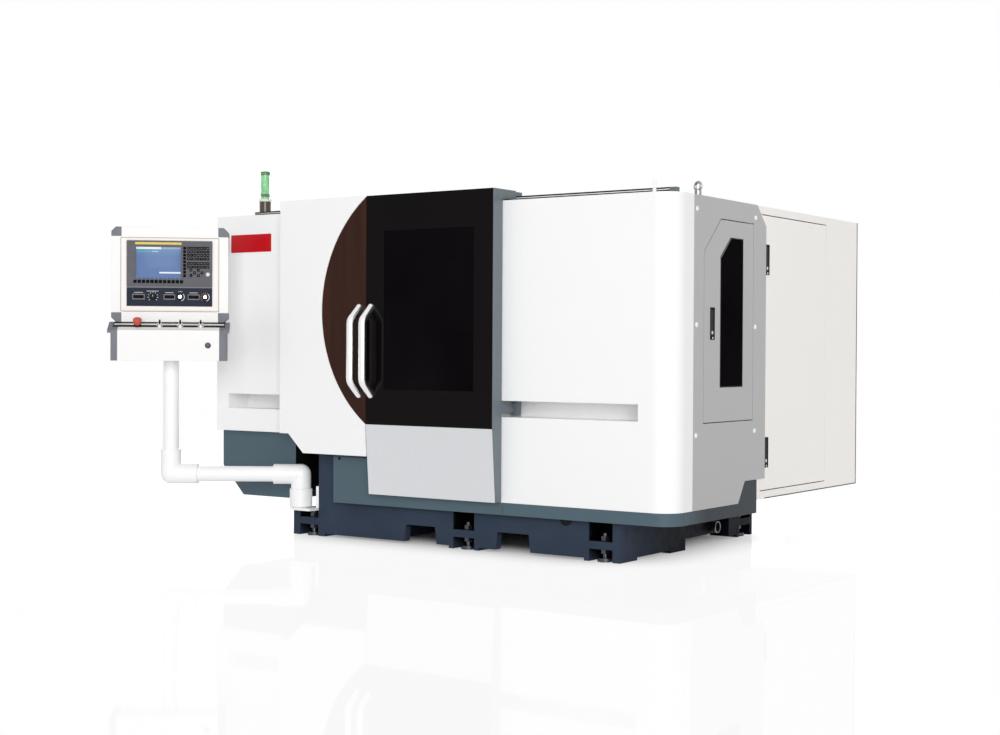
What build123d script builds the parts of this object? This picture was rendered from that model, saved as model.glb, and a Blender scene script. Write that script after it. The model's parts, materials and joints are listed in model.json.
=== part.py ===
from build123d import *
import os

# Driving dimensions in millimetres. X runs to the right with 0 on the right side of the enclosure,
# Y runs to the back with 0 on the front covers, and Z runs up, with the floor at FLOOR_Z. At the end
# every piece is moved so that the origin is on the floor, below the middle of the whole machine.

# Sheet-metal enclosure
SHEET = 3.0
ENCLOSURE_W = 2586.0
ENCLOSURE_D = 868.0
COVER_TOP = 1550.0
RIGHT_COVER_BOTTOM = 223.0
LEFT_COVER_BOTTOM = 488.0
CORNER_R = 95.0
CORNER_RETURN = 172.0
SEAM = 1.0
REAR_BEVEL = 92.0
OPENING_LEFT = -2040.0
OPENING_RIGHT = -905.0
HEADER_H = 70.0

# Guide grooves in the front covers
GROOVE_BOTTOM = 599.0
GROOVE_H = 72.0
GROOVE_D = 140.0
GROOVE_LAP = 20.0
LEFT_GROOVE_MARGIN = 79.0
RIGHT_GROOVE_MARGIN = 166.0

# Splash pan and left skirt
PAN_BOTTOM = 168.0
PAN_LEFT = -1820.0
PAN_APRON_TOP = 385.0
PAN_REAR_MARGIN = 83.0
PAN_RISER_TOP = 318.0
PAN_RISER_FOOT_MARGIN = 184.0
PAN_RISER_HEAD_MARGIN = 120.0
SILL_Y = 15.0
SILL_TOP = 540.0
SKIRT_MARGIN = 7.0
SKIRT_RIGHT = -2095.0
SKIRT_BEVEL_X = 139.0
SKIRT_BEVEL_Z = 143.0

# Sliding front doors
DOOR_FACE = -73.0
DOOR_T = 68.0
DOOR_RISE = 50.0
DOOR_MEET = -1566.0
DOOR_MEET_GAP = 4.0
LEFT_DOOR_W = 532.0
LEFT_DOOR_BOTTOM = 400.0
NOTCH_H = 90.0
NOTCH_FLAT = 56.0
NOTCH_RUN = 94.0
RIGHT_DOOR_W = 716.0
RIGHT_DOOR_BOTTOM = 225.0
KICK_TOP = 548.0
KICK_LEAN = 25.0
KICK_FLANGE = 58.0
WINDOW_W = 505.0
WINDOW_TOP_MARGIN = 165.0
WINDOW_RIGHT_MARGIN = 105.0
WINDOW_BOTTOM = 711.0
GLASS_T = 8.0
GLASS_LAP = 20.0
INLAY_BOTTOM = 549.0
INLAY_TOP_MARGIN = 4.0
INLAY_BULGE = 266.0
INLAY_T = 6.0
INLAY_LAP = 14.0
HANDLE_D = 38.0
HANDLE_REACH = 62.0
HANDLE_BOTTOM = 685.0
HANDLE_TOP = 1087.0
HANDLE_LEG_RISE = 62.0
HANDLE_BEND_R = 42.0
LEFT_HANDLE_INSET = 40.0
RIGHT_HANDLE_INSET = 32.0

# Door rails, hangers and lower guides
RAIL_Y = 112.0
RAIL_W = 30.0
RAIL_H = 28.0
RAIL_LEFT_MARGIN = 148.0
RAIL_RIGHT_MARGIN = 54.0
RAIL_GROOVE = 6.0
HANGER_W = 50.0
HANGER_T = 5.0
HANGER_INSET = 18.0
SHOE_CHEEK = 14.0
SHOE_DROP = 14.0
SLIDE_CLEAR = 0.4
CARRIER_T = 3.0
TONGUE_REACH = 95.0
TONGUE_H = 40.0
GUIDE_BLOCK_L = 32.0
GUIDE_BLOCK_W = 30.0
GUIDE_CLEAR = 5.0
GUSSET_REACH = 98.0
ROOF_CLEAR = 10.0

# Right side service door
SIDE_DOOR_FRONT = 267.0
SIDE_DOOR_REAR_MARGIN = 133.0
SIDE_DOOR_BOTTOM = 590.0
SIDE_DOOR_TOP_MARGIN = 90.0
SIDE_DOOR_CUT_Y = 153.0
SIDE_DOOR_CUT_Z = 145.0
SIDE_WINDOW_FRONT_MARGIN = 150.0
SIDE_WINDOW_REAR_MARGIN = 103.0
SIDE_WINDOW_BOTTOM_MARGIN = 149.0
SIDE_WINDOW_TOP_MARGIN = 74.0
SIDE_WINDOW_CUT_Y = 103.0
SIDE_WINDOW_CUT_Z = 94.0
SIDE_GLASS_T = 6.0
LEAF_T = 20.0
LEAF_GAP = 4.0

# Electrical cabinet
CABINET_FACE = -5.0
CABINET_DEPTH = 550.0
CABINET_LAP = 71.0
CABINET_LENGTH = 1153.0
CABINET_BOTTOM = 225.0
CABINET_TOP_DROP = 1.0
CABINET_DOOR_FRONT_MARGIN = 38.0
CABINET_DOOR_W = 718.0
CABINET_DOOR_BOTTOM_MARGIN = 40.0
CABINET_DOOR_TOP_MARGIN = 39.0
CABINET_FOOT_L = 50.0
MOUNT_PLATE_T = 4.0
MOUNT_PLATE_STANDOFF = 30.0
MODULE_COUNT = 7
MODULE_W = 92.0
MODULE_PITCH = 104.0
MODULE_D = 190.0
MODULE_H = 360.0

# Concealed pivot hinges and flush latches of both leaves
PIN_R = 4.0
PIN_LENGTH = 26.0
RUNNING_CLEAR = 0.05
HINGE_BLOCK = 16.0
HINGE_SETBACK = 13.0
LATCH_W = 40.0
LATCH_H = 138.0
LATCH_DEPTH = 14.0
LATCH_STAND = 2.0
LATCH_WALL = 3.0
LATCH_PIN_R = 2.5
LATCH_LEVER_H = 112.0
LATCH_LEVER_T = 7.0
LATCH_SIDE_CLEAR = 0.4
LATCH_FRONT_MARGIN = 55.0
SIDE_LATCH_LIFT = 352.0
CABINET_LATCH_FRONT_MARGIN = 36.0
LOWER_LATCH_LIFT = 101.0
UPPER_LATCH_DROP = 269.0

# Cast bed
BED_FRONT = 40.0
BED_MID = 620.0
BED_REAR = 1370.0
BED_LEFT = -1946.0
BED_RIGHT = -270.0
BED_BOTTOM = 8.0
BED_TOP = 585.0
BED_WALL = 40.0
BED_DECK = 60.0
FOOT_TOE_LEFT = -2105.0
FOOT_TOE_REAR = 420.0
FOOT_TOE_TOP = 119.0
PLINTH_LEFT = -2000.0
PLINTH_RIGHT = -310.0
PLINTH_TOP = 160.0
COLUMN_LEFT = -1290.0
COLUMN_RIGHT = -730.0
FORK_POCKETS = (-1330.0, -817.0)
FORK_W_TOP = 166.0
FORK_W_BOTTOM = 186.0
FORK_TOP = 86.0
RIB_CENTRES = (-1560.0, -600.0)
PLINTH_ARCH_TOP = 38.0
PLINTH_GAP_FRONT = 1000.0
PLINTH_GAP_REAR = 1130.0
FRONT_FEET = (-2006.0, -1085.0, -366.0)
REAR_FOOT_X = -1085.0
CORNER_FOOT_Y = 1300.0
FLOOR_Z = -6.0
FOOT_BLOCK_CLEAR = 2.0
HEEL_L = 145.0
FOOT_POCKET_W = 116.0
FOOT_POCKET_D = 120.0
FOOT_BOSS = 25.0
FOOT_ROOF = 10.0
FOOT_SETBACK = 40.0
LEDGE_BOTTOM = 49.0
LEDGE_TOP = 83.0
FOOT_POCKET_TOP = 150.0
FRONT_POCKET_TOP = 170.0
FOOT_PAD_R = 34.0
FOOT_PAD_H = 16.0
FOOT_SCREW_R = 12.0
FOOT_SCREW_TOP = 116.0
FOOT_NUT_R = 20.0
FOOT_NUT_H = 20.0
FOOT_HOLE_CLEAR = 1.0

# Work table, headstock and tailstock
WHEEL_PLANE = -1330.0
WORK_AXIS_Y = 295.0
WORK_AXIS_Z = 960.0
WAY_H = 30.0
WAY_W = 40.0
WAY_MARGIN = 16.0
TABLE_LENGTH = 1360.0
TABLE_FRONT = 190.0
TABLE_REAR = 400.0
TABLE_TOP = 760.0
TABLE_WAY_INSET = 15.0
SLIDE_GAP = 0.3
END_GAP = 1.0
SCREW_R = 15.0
SCREW_LIFT = 45.0
SCREW_CHANNEL_W = 90.0
SCREW_CHANNEL_H = 60.0
NUT_LENGTH = 120.0
BEARING_L = 40.0
BEARING_W = 76.0
BEARING_TOP = 80.0
SERVO_SIZE = 130.0
SERVO_LENGTH = 190.0
SERVO_FLANGE_T = 20.0
SERVO_FLANGE_DROP = 60.0
WORKHEAD_LENGTH = 310.0
WORKHEAD_W = 190.0
HEAD_CROWN = 100.0
HEAD_BEVEL = 40.0
WORK_SPINDLE_R = 45.0
WORK_FLANGE_R = 70.0
WORK_FLANGE_T = 24.0
WORK_FACE_TO_WHEEL = 360.0
CENTRE_R = 16.0
CENTRE_LENGTH = 46.0
TAILSTOCK_LENGTH = 260.0
TAILSTOCK_W = 170.0
TAILSTOCK_END_MARGIN = 50.0
QUILL_R = 30.0
QUILL_OUT = 45.0
QUILL_TAIL = 220.0

# Wheelhead on its cross slide
WHEEL_R = 227.5
WHEEL_W = 50.0
WHEEL_SET_BACK = 110.0
WHEEL_FLANGE_R = 95.0
WHEEL_FLANGE_T = 14.0
WHEEL_SPINDLE_R = 40.0
CROSS_SLIDE_LEFT = -1262.0
CROSS_SLIDE_RIGHT = -760.0
CROSS_SLIDE_FRONT = 565.0
CROSS_SLIDE_REAR = 1200.0
CROSS_SLIDE_TOP = 720.0
CROSS_WAY_FRONT = 470.0
HOUSING_LENGTH = 355.0
HOUSING_HALF_W = 80.0
HOUSING_CROWN = 95.0
GUARD_R = 256.0
GUARD_T = 6.0
GUARD_W = 124.0
GUARD_MOUTH = 90.0
GUARD_NECK_R = 74.0
GUARD_NECK_T = 16.0
MOTOR_R = 92.0
MOTOR_LENGTH = 290.0
MOTOR_FLANGE = 210.0
MOTOR_FLANGE_T = 18.0

# Rear cover around the wheelhead drive
REAR_BOX_LEFT = -1900.0
REAR_BOX_RIGHT = -561.0
REAR_BOX_DEPTH = 772.0
REAR_BOX_BOTTOM = 165.0
REAR_BOX_DROP = 110.0

# Swing arm of the control pendant
PIVOT_X = -2034.5
PIVOT_Y = 12.0
ARM_ANGLE = 35.0
ARM_LENGTH = 627.0
PENDANT_TURN = 7.0
ARM_RISE = 69.0
BARREL_R = 54.0
BARREL_BOTTOM = 137.0
BARREL_TOP = 222.0
BRACKET_T = 17.0
BRACKET_LENGTH = 100.0
BRACKET_RISE = 12.0
SHELF_T = 12.0
BOSS_R = 38.0
ELBOW_R = 48.0
ELBOW_REACH = 131.0
RISER_ELBOW_H = 117.0
PIPE_R = 37.0
PIPE_WALL = 4.0
RISER_H = 543.0
SWIVEL_GAP = 0.5

# Control pendant, seen from its front: U to the right, V to the back, both from the riser's axis
CONSOLE_HALF_W = 236.5
CONSOLE_SHIFT = -3.0
CONSOLE_CAP_W = 31.0
CONSOLE_CAP_LIP = 16.0
CONSOLE_LIP_T = 14.0
CONSOLE_FRONT = -150.0
CONSOLE_REAR = 70.0
CONSOLE_H = 144.5
CONSOLE_RISE = 40.0
CONSOLE_DEPTH = 100.0
HEAD_HALF_W = 275.0
HEAD_SHIFT = -4.0
HEAD_H = 453.5
CORNER_W = 48.0
CORNER_H = 45.0
CORNER_CUT = 21.0
UNIT_LEFT = -206.0
UNIT_RIGHT = 195.0
UNIT_LIFT = 171.0
UNIT_H = 217.0
UNIT_T = 8.0
SCREEN_LEFT = -163.0
SCREEN_RIGHT = 47.0
SCREEN_LIFT = 34.0
SCREEN_H = 153.5
SCREEN_T = 5.0
PANEL_LIFT = 76.0
PANEL_H = 87.0
PANEL_T = 5.0
KEY_T = 3.0
KEY_SIZE = 12.5
SOFT_KEY_COUNT = 12
SOFT_KEY_PITCH = 19.8
SOFT_KEY_LIFT = 22.0
MENU_KEY_COUNT = 9
MENU_KEY_PITCH = 16.5
MENU_KEY_U = 65.0
PAD_COLUMNS = 7
PAD_UPPER_ROWS = 4
PAD_LOWER_ROWS = 2
PAD_GROUP_GAP = 5.0
PAD_PITCH_U = 15.3
PAD_PITCH_Z = 17.0
PAD_LEFT = 83.0
PAD_DROP = 34.0
ARROW_LEFT = 95.0
ARROW_PITCH = 17.5
ARROW_LIFT = 65.5
KNOB_US = (-83.0, 45.0, 163.0)
KNOB_RISE = 44.5
KNOB_R = 14.0
KNOB_H = 18.0
KNOB_STEM_R = 4.0
KNOB_LIFT = 0.5
SELECTOR_US = (-47.0, 49.0, 145.0)
SELECTOR_R = 13.0
SELECTOR_H = 14.0
SELECTOR_GRIP_H = 16.0
SELECTOR_GRIP_W = 7.0
SELECTOR_STEM_R = 8.0
STEM_LENGTH = 20.0
ESTOP_U = -151.0
ESTOP_R = 20.0
ESTOP_HEAD_H = 22.0
ESTOP_STEM_R = 14.0
ESTOP_STAND = 12.0
ESTOP_TRAVEL = 5.0

# Signal lamp and lifting eyes on the roof
LAMP_MARGIN = 135.0
LAMP_Y = 200.0
LAMP_R = 29.0
LAMP_FLANGE_R = 40.0
LAMP_FLANGE_T = 8.0
LAMP_BASE_H = 94.0
LENS_H = 190.0
LENS_WALL = 4.0
EYE_R = 17.5
EYE_WIRE_R = 6.0
EYE_COLLAR_R = 15.0
EYE_COLLAR_H = 20.0
EYE_MARGIN = 18.0
EYE_Y = 238.0
EYE_TURN = 17.0


# Values that follow from the ones above
LEFT_EDGE = -ENCLOSURE_W
LEFT_GROOVE_END = LEFT_EDGE + LEFT_GROOVE_MARGIN
RIGHT_GROOVE_END = -RIGHT_GROOVE_MARGIN
RAIL_LEFT_END = LEFT_EDGE + RAIL_LEFT_MARGIN
RAIL_RIGHT_END = -RAIL_RIGHT_MARGIN
SKIRT_LEFT = LEFT_EDGE + SKIRT_MARGIN
PAN_REAR = ENCLOSURE_D - PAN_REAR_MARGIN
PAN_RISER_FOOT_Y = PAN_REAR - PAN_RISER_FOOT_MARGIN
FOOT_BLOCK_BOTTOM = FLOOR_Z + FOOT_BLOCK_CLEAR
PAN_RISER_HEAD_Y = PAN_REAR - PAN_RISER_HEAD_MARGIN
REAR_BOX_REAR = ENCLOSURE_D + REAR_BOX_DEPTH
REAR_BOX_TOP = COVER_TOP - REAR_BOX_DROP
LAMP_X = LEFT_EDGE + LAMP_MARGIN
LAMP_BASE_TOP = COVER_TOP + LAMP_BASE_H
LAMP_TOP = LAMP_BASE_TOP + LENS_H
EYE_X = -EYE_MARGIN
SIDE_DOOR_REAR = ENCLOSURE_D - SIDE_DOOR_REAR_MARGIN
SIDE_DOOR_TOP = COVER_TOP - SIDE_DOOR_TOP_MARGIN
SIDE_WINDOW_FRONT = SIDE_DOOR_FRONT + SIDE_WINDOW_FRONT_MARGIN
SIDE_WINDOW_REAR = SIDE_DOOR_REAR - SIDE_WINDOW_REAR_MARGIN
SIDE_WINDOW_BOTTOM = SIDE_DOOR_BOTTOM + SIDE_WINDOW_BOTTOM_MARGIN
SIDE_WINDOW_TOP = SIDE_DOOR_TOP - SIDE_WINDOW_TOP_MARGIN
SIDE_LATCH_BOTTOM = SIDE_DOOR_BOTTOM + SIDE_LATCH_LIFT
CABINET_FRONT = ENCLOSURE_D - CABINET_LAP
CABINET_REAR = CABINET_FRONT + CABINET_LENGTH
CABINET_TOP = COVER_TOP - CABINET_TOP_DROP
CABINET_DOOR_FRONT = CABINET_FRONT + CABINET_DOOR_FRONT_MARGIN
CABINET_DOOR_REAR = CABINET_DOOR_FRONT + CABINET_DOOR_W
CABINET_DOOR_BOTTOM = CABINET_BOTTOM + CABINET_DOOR_BOTTOM_MARGIN
CABINET_DOOR_TOP = CABINET_TOP - CABINET_DOOR_TOP_MARGIN
CABINET_LATCH_BOTTOMS = (CABINET_DOOR_BOTTOM + LOWER_LATCH_LIFT, CABINET_DOOR_TOP - UPPER_LATCH_DROP)
DOOR_TOP = COVER_TOP + DOOR_RISE
DOOR_BACK = DOOR_FACE + DOOR_T
WINDOW_H = DOOR_TOP - WINDOW_TOP_MARGIN - WINDOW_BOTTOM
INLAY_TOP = DOOR_TOP - INLAY_TOP_MARGIN
LEFT_DOOR_LEFT = DOOR_MEET - LEFT_DOOR_W
LEFT_DOOR_RIGHT = DOOR_MEET - DOOR_MEET_GAP / 2
RIGHT_DOOR_LEFT = DOOR_MEET + DOOR_MEET_GAP / 2
RIGHT_DOOR_RIGHT = DOOR_MEET + RIGHT_DOOR_W
RIGHT_PAN_RIGHT = RIGHT_DOOR_RIGHT - CARRIER_T
GROOVE_TOP = GROOVE_BOTTOM + GROOVE_H
GROOVE_MID = (GROOVE_BOTTOM + GROOVE_TOP) / 2
RAIL_TOP = COVER_TOP + RAIL_H
WAY_TOP = BED_TOP + WAY_H
SLIDE_BASE = WAY_TOP + SLIDE_GAP
SCREW_Z = BED_TOP + SCREW_LIFT
WHEEL_Y = WORK_AXIS_Y + WHEEL_R + WHEEL_SET_BACK
CROSS_SCREW_X = (CROSS_SLIDE_LEFT + CROSS_SLIDE_RIGHT) / 2
ARM_Z = BARREL_TOP + ARM_RISE
BRACKET_TOP = BARREL_TOP + BRACKET_RISE
RISER_ELBOW_TOP = ARM_Z + RISER_ELBOW_H
RISER_TOP = ARM_Z + RISER_H
CONSOLE_BOTTOM = RISER_TOP + SWIVEL_GAP
CONSOLE_FRONT_TOP = CONSOLE_BOTTOM + CONSOLE_H
HEAD_BOTTOM = CONSOLE_FRONT_TOP + CONSOLE_RISE
HEAD_FRONT = CONSOLE_FRONT + CONSOLE_DEPTH
HEAD_TOP = HEAD_BOTTOM + HEAD_H
UNIT_BOTTOM = HEAD_BOTTOM + UNIT_LIFT
UNIT_TOP = UNIT_BOTTOM + UNIT_H
SCREEN_BOTTOM = UNIT_BOTTOM + SCREEN_LIFT
SCREEN_TOP = SCREEN_BOTTOM + SCREEN_H
SOFT_KEY_Z = UNIT_BOTTOM + SOFT_KEY_LIFT
PAD_TOP = UNIT_TOP - PAD_DROP
ARROW_Z = UNIT_BOTTOM + ARROW_LIFT
PANEL_BOTTOM = HEAD_BOTTOM + PANEL_LIFT
PANEL_TOP = PANEL_BOTTOM + PANEL_H
KNOB_Z = PANEL_BOTTOM + KNOB_RISE
CONSOLE_SLOPE = Vector(CONSOLE_DEPTH, CONSOLE_RISE).get_angle(Vector(1, 0))
ARM_PLACE = Pos(PIVOT_X, PIVOT_Y, 0) * Rot(0, 0, ARM_ANGLE)
PENDANT_PLACE = ARM_PLACE * Pos(-ARM_LENGTH, 0, 0) * Rot(0, 0, PENDANT_TURN)
CONSOLE_PLACE = (
    PENDANT_PLACE
    * Pos(0, CONSOLE_FRONT + CONSOLE_DEPTH / 2, CONSOLE_FRONT_TOP + CONSOLE_RISE / 2)
    * Rot(CONSOLE_SLOPE, 0, 0)
)


def block(x0, x1, y0, y1, z0, z1):
    """A box between two corners."""
    middle = Pos((x0 + x1) / 2, (y0 + y1) / 2, (z0 + z1) / 2)
    return middle * Box(x1 - x0, y1 - y0, z1 - z0)


def rod_x(x0, x1, y, z, r):
    return Pos((x0 + x1) / 2, y, z) * Rot(0, 90, 0) * Cylinder(r, x1 - x0)


def rod_y(x, y0, y1, z, r):
    return Pos(x, (y0 + y1) / 2, z) * Rot(90, 0, 0) * Cylinder(r, y1 - y0)


def rod_z(x, y, z0, z1, r):
    return Pos(x, y, (z0 + z1) / 2) * Cylinder(r, z1 - z0)


def outline(*points):
    return Polygon(*points, align=None)


def front_prism(sketch, y_front, y_back):
    """A front-view outline (X, Z) made solid between two Y values."""
    face = Plane.XZ.offset(-y_back) * sketch
    return extrude(face, amount=y_back - y_front, dir=(0, -1, 0))


def side_prism(sketch, x0, x1):
    """A side-view outline (Y, Z) made solid between two X values."""
    face = Plane.YZ.offset(x0) * sketch
    return extrude(face, amount=x1 - x0, dir=(1, 0, 0))


def inset(sketch, amount):
    return offset(sketch, -amount, kind=Kind.INTERSECTION)


def front_tray(sketch, y_front, y_back):
    """A folded sheet tray with its face at y_front and its rim turned to the back."""
    outer = front_prism(sketch, y_front, y_back)
    return outer - front_prism(inset(sketch, SHEET), y_front + SHEET, y_back)


def side_tray(sketch, x_face, depth):
    """A folded sheet tray with its face at x_face and its rim turned inwards."""
    outer = side_prism(sketch, x_face - depth, x_face)
    return outer - side_prism(inset(sketch, SHEET), x_face - depth, x_face - SHEET)


def cut_corner_outline(y0, y1, z0, z1, cut_y, cut_z):
    """A side-view rectangle with its front top corner cut off."""
    return outline((y0, z0), (y1, z0), (y1, z1), (y0 + cut_y, z1), (y0, z1 - cut_z))


def corner_wrap(x0, y1, z0, z1):
    """A sheet along the front that turns round the right corner and runs back to y1."""
    outer = block(x0, 0, 0, y1, z0, z1)
    corner = outer.edges().filter_by(Axis.Z).sort_by(Axis.X)[-2:].sort_by(Axis.Y)[0]
    outer = fillet(corner, CORNER_R)
    inner = block(x0, -SHEET, SHEET, y1, z0, z1)
    corner = inner.edges().filter_by(Axis.Z).sort_by(Axis.X)[-2:].sort_by(Axis.Y)[0]
    return outer - fillet(corner, CORNER_R - SHEET)


def guide_groove(x0, x1):
    """The recessed channel behind a groove, and the slot that opens it."""
    back = GROOVE_D + SHEET
    shell = block(x0 - SHEET, x1 + SHEET, 0, back, GROOVE_BOTTOM - SHEET, GROOVE_TOP + SHEET)
    return shell, block(x0, x1, 0, GROOVE_D, GROOVE_BOTTOM, GROOVE_TOP)


def left_cover():
    shell, slot = guide_groove(LEFT_GROOVE_END, OPENING_LEFT - GROOVE_LAP)
    inner_edge = LEFT_EDGE + SHEET
    front = block(LEFT_EDGE, OPENING_LEFT, 0, SHEET, LEFT_COVER_BOTTOM, COVER_TOP)
    side = side_prism(
        outline(
            (0, LEFT_COVER_BOTTOM),
            (ENCLOSURE_D, LEFT_COVER_BOTTOM),
            (ENCLOSURE_D, COVER_TOP - REAR_BEVEL),
            (ENCLOSURE_D - REAR_BEVEL, COVER_TOP),
            (0, COVER_TOP),
        ),
        LEFT_EDGE,
        inner_edge,
    )
    floor_top = LEFT_COVER_BOTTOM + SHEET
    floor = block(LEFT_EDGE, SKIRT_RIGHT, 0, ENCLOSURE_D - SHEET, LEFT_COVER_BOTTOM, floor_top)
    return front + side + floor + shell - slot


def right_cover():
    shell, slot = guide_groove(OPENING_RIGHT + GROOVE_LAP, RIGHT_GROOVE_END)
    sheet = corner_wrap(OPENING_RIGHT, CORNER_RETURN, RIGHT_COVER_BOTTOM, COVER_TOP)
    return sheet + shell - slot


def side_door_outline(grow=0.0):
    return cut_corner_outline(
        SIDE_DOOR_FRONT - grow,
        SIDE_DOOR_REAR + grow,
        SIDE_DOOR_BOTTOM - grow,
        SIDE_DOOR_TOP + grow,
        SIDE_DOOR_CUT_Y + grow / 2,
        SIDE_DOOR_CUT_Z + grow / 2,
    )


def side_window_outline(grow=0.0):
    return cut_corner_outline(
        SIDE_WINDOW_FRONT - grow,
        SIDE_WINDOW_REAR + grow,
        SIDE_WINDOW_BOTTOM - grow,
        SIDE_WINDOW_TOP + grow,
        SIDE_WINDOW_CUT_Y + grow / 2,
        SIDE_WINDOW_CUT_Z + grow / 2,
    )


def right_side_panel():
    panel = outline(
        (CORNER_RETURN + SEAM, RIGHT_COVER_BOTTOM),
        (PAN_RISER_FOOT_Y, RIGHT_COVER_BOTTOM),
        (PAN_RISER_HEAD_Y, PAN_RISER_TOP + SEAM),
        (ENCLOSURE_D, PAN_RISER_TOP + SEAM),
        (ENCLOSURE_D, COVER_TOP - REAR_BEVEL),
        (ENCLOSURE_D - REAR_BEVEL, COVER_TOP),
        (CORNER_RETURN + SEAM, COVER_TOP),
    )
    return side_prism(panel - side_door_outline(LEAF_GAP), -SHEET, 0)


def roof_panel():
    under = COVER_TOP - SHEET
    flat_rear = ENCLOSURE_D - REAR_BEVEL
    flat = block(LEFT_EDGE + SHEET, -SHEET, SHEET, flat_rear, under, COVER_TOP)
    corner = flat.edges().filter_by(Axis.Z).sort_by(Axis.X)[-2:].sort_by(Axis.Y)[0]
    flat = fillet(corner, CORNER_R - SHEET)
    bevel = outline(
        (flat_rear - SHEET, under),
        (flat_rear, COVER_TOP),
        (ENCLOSURE_D, COVER_TOP - REAR_BEVEL),
        (ENCLOSURE_D - SHEET, COVER_TOP - REAR_BEVEL - SHEET),
        (ENCLOSURE_D - 2 * SHEET, COVER_TOP - REAR_BEVEL),
    )
    slope = side_prism(bevel, LEFT_EDGE + SHEET, REAR_BOX_RIGHT)
    header = block(OPENING_LEFT, OPENING_RIGHT, 0, SHEET, COVER_TOP - HEADER_H, COVER_TOP)
    return flat + slope + header


def rear_cover():
    wall_front = ENCLOSURE_D - SHEET
    wall_top = COVER_TOP - REAR_BEVEL - SHEET
    upper_wall = block(
        LEFT_EDGE + SHEET, SKIRT_RIGHT, wall_front, ENCLOSURE_D, LEFT_COVER_BOTTOM, wall_top
    )
    lower_wall = block(
        SKIRT_RIGHT, REAR_BOX_RIGHT, wall_front, ENCLOSURE_D, RIGHT_COVER_BOTTOM, wall_top
    )
    box = block(
        REAR_BOX_LEFT, REAR_BOX_RIGHT, ENCLOSURE_D, REAR_BOX_REAR, REAR_BOX_BOTTOM, REAR_BOX_TOP
    )
    inside = block(
        REAR_BOX_LEFT + SHEET,
        REAR_BOX_RIGHT - SHEET,
        wall_front,
        REAR_BOX_REAR - SHEET,
        REAR_BOX_BOTTOM,
        REAR_BOX_TOP - SHEET,
    )
    return upper_wall + lower_wall + box - inside


def splash_pan():
    strip = corner_wrap(PAN_LEFT, PAN_REAR, PAN_BOTTOM, RIGHT_COVER_BOTTOM - SEAM)
    apron_right = RIGHT_DOOR_LEFT - DOOR_MEET_GAP
    apron = block(PAN_LEFT, apron_right, 0, SHEET, PAN_BOTTOM, PAN_APRON_TOP)
    end = block(PAN_LEFT, PAN_LEFT + SHEET, 0, SILL_Y, PAN_BOTTOM, PAN_APRON_TOP)
    floor = block(PAN_LEFT, -CORNER_R, 0, SILL_Y + SHEET, PAN_BOTTOM, PAN_BOTTOM + SHEET)
    sill = block(PAN_LEFT, OPENING_RIGHT, SILL_Y, SILL_Y + SHEET, PAN_BOTTOM, SILL_TOP)
    riser = outline(
        (PAN_RISER_FOOT_Y, PAN_BOTTOM),
        (PAN_REAR, PAN_BOTTOM),
        (PAN_REAR, PAN_RISER_TOP),
        (PAN_RISER_HEAD_Y + SEAM, PAN_RISER_TOP),
        (PAN_RISER_FOOT_Y + SEAM, RIGHT_COVER_BOTTOM - SEAM),
    )
    return strip + apron + end + floor + sill + side_prism(riser, -SHEET, 0)


def left_skirt():
    top = LEFT_COVER_BOTTOM - SEAM
    profile = outline(
        (SKIRT_LEFT, top),
        (SKIRT_LEFT, PAN_BOTTOM + SKIRT_BEVEL_Z),
        (SKIRT_LEFT + SKIRT_BEVEL_X, PAN_BOTTOM),
        (SKIRT_RIGHT, PAN_BOTTOM),
        (SKIRT_RIGHT, top),
    )
    rear = ENCLOSURE_D - SHEET
    outer = front_prism(profile, BED_FRONT, rear)
    hollow = front_prism(inset(profile, SHEET), BED_FRONT + SHEET, rear - SHEET)
    mouth = block(
        SKIRT_LEFT + SHEET, SKIRT_RIGHT - SHEET, BED_FRONT + SHEET, rear - SHEET, top - SHEET, top
    )
    return outer - hollow - mouth


def foot_places():
    """A place for each foot on the bed's outer wall, with local +Y pointing into the bed."""
    places = [Pos(x, BED_FRONT, 0) for x in FRONT_FEET]
    places.append(Pos(REAR_FOOT_X, BED_REAR, 0) * Rot(0, 0, 180))
    places.append(Pos(PLINTH_LEFT, CORNER_FOOT_Y, 0) * Rot(0, 0, -90))
    places.append(Pos(PLINTH_RIGHT, CORNER_FOOT_Y, 0) * Rot(0, 0, 90))
    return places


def foot_tops():
    """The top of each foot's upper hollow, in the order of the places. The first one is in the toe."""
    front = [FOOT_POCKET_TOP] + [FRONT_POCKET_TOP] * (len(FRONT_FEET) - 1)
    return front + [FOOT_POCKET_TOP] * (len(foot_places()) - len(FRONT_FEET))


def foot_pocket(top):
    """The hollows above and below the ledge of a levelling foot, and the screw's hole."""
    half = FOOT_POCKET_W / 2
    lower = block(-half, half, 0, FOOT_POCKET_D, FOOT_BLOCK_BOTTOM, LEDGE_BOTTOM)
    upper = block(-half, half, 0, FOOT_POCKET_D, LEDGE_TOP, top)
    hole = rod_z(0, FOOT_SETBACK, LEDGE_BOTTOM, LEDGE_TOP, FOOT_SCREW_R + FOOT_HOLE_CLEAR)
    return lower + upper + hole


def foot_block(top):
    """The block round a foot's hollows, which stands out below the bed's underside."""
    half = FOOT_POCKET_W / 2 + FOOT_BOSS
    return block(-half, half, 0, FOOT_POCKET_D + FOOT_BOSS, FOOT_BLOCK_BOTTOM, top)


def bed_heels():
    """Short blocks under the toe and under both ends of the front part's side walls."""
    heels = [block(FOOT_TOE_LEFT, BED_LEFT, BED_FRONT, BED_FRONT + HEEL_L, FOOT_BLOCK_BOTTOM, BED_BOTTOM)]
    for x in (BED_LEFT, BED_RIGHT - BED_WALL):
        for y in (BED_FRONT, BED_MID - HEEL_L):
            heels.append(block(x, x + BED_WALL, y, y + HEEL_L, FOOT_BLOCK_BOTTOM, BED_BOTTOM))
    return heels


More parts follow.
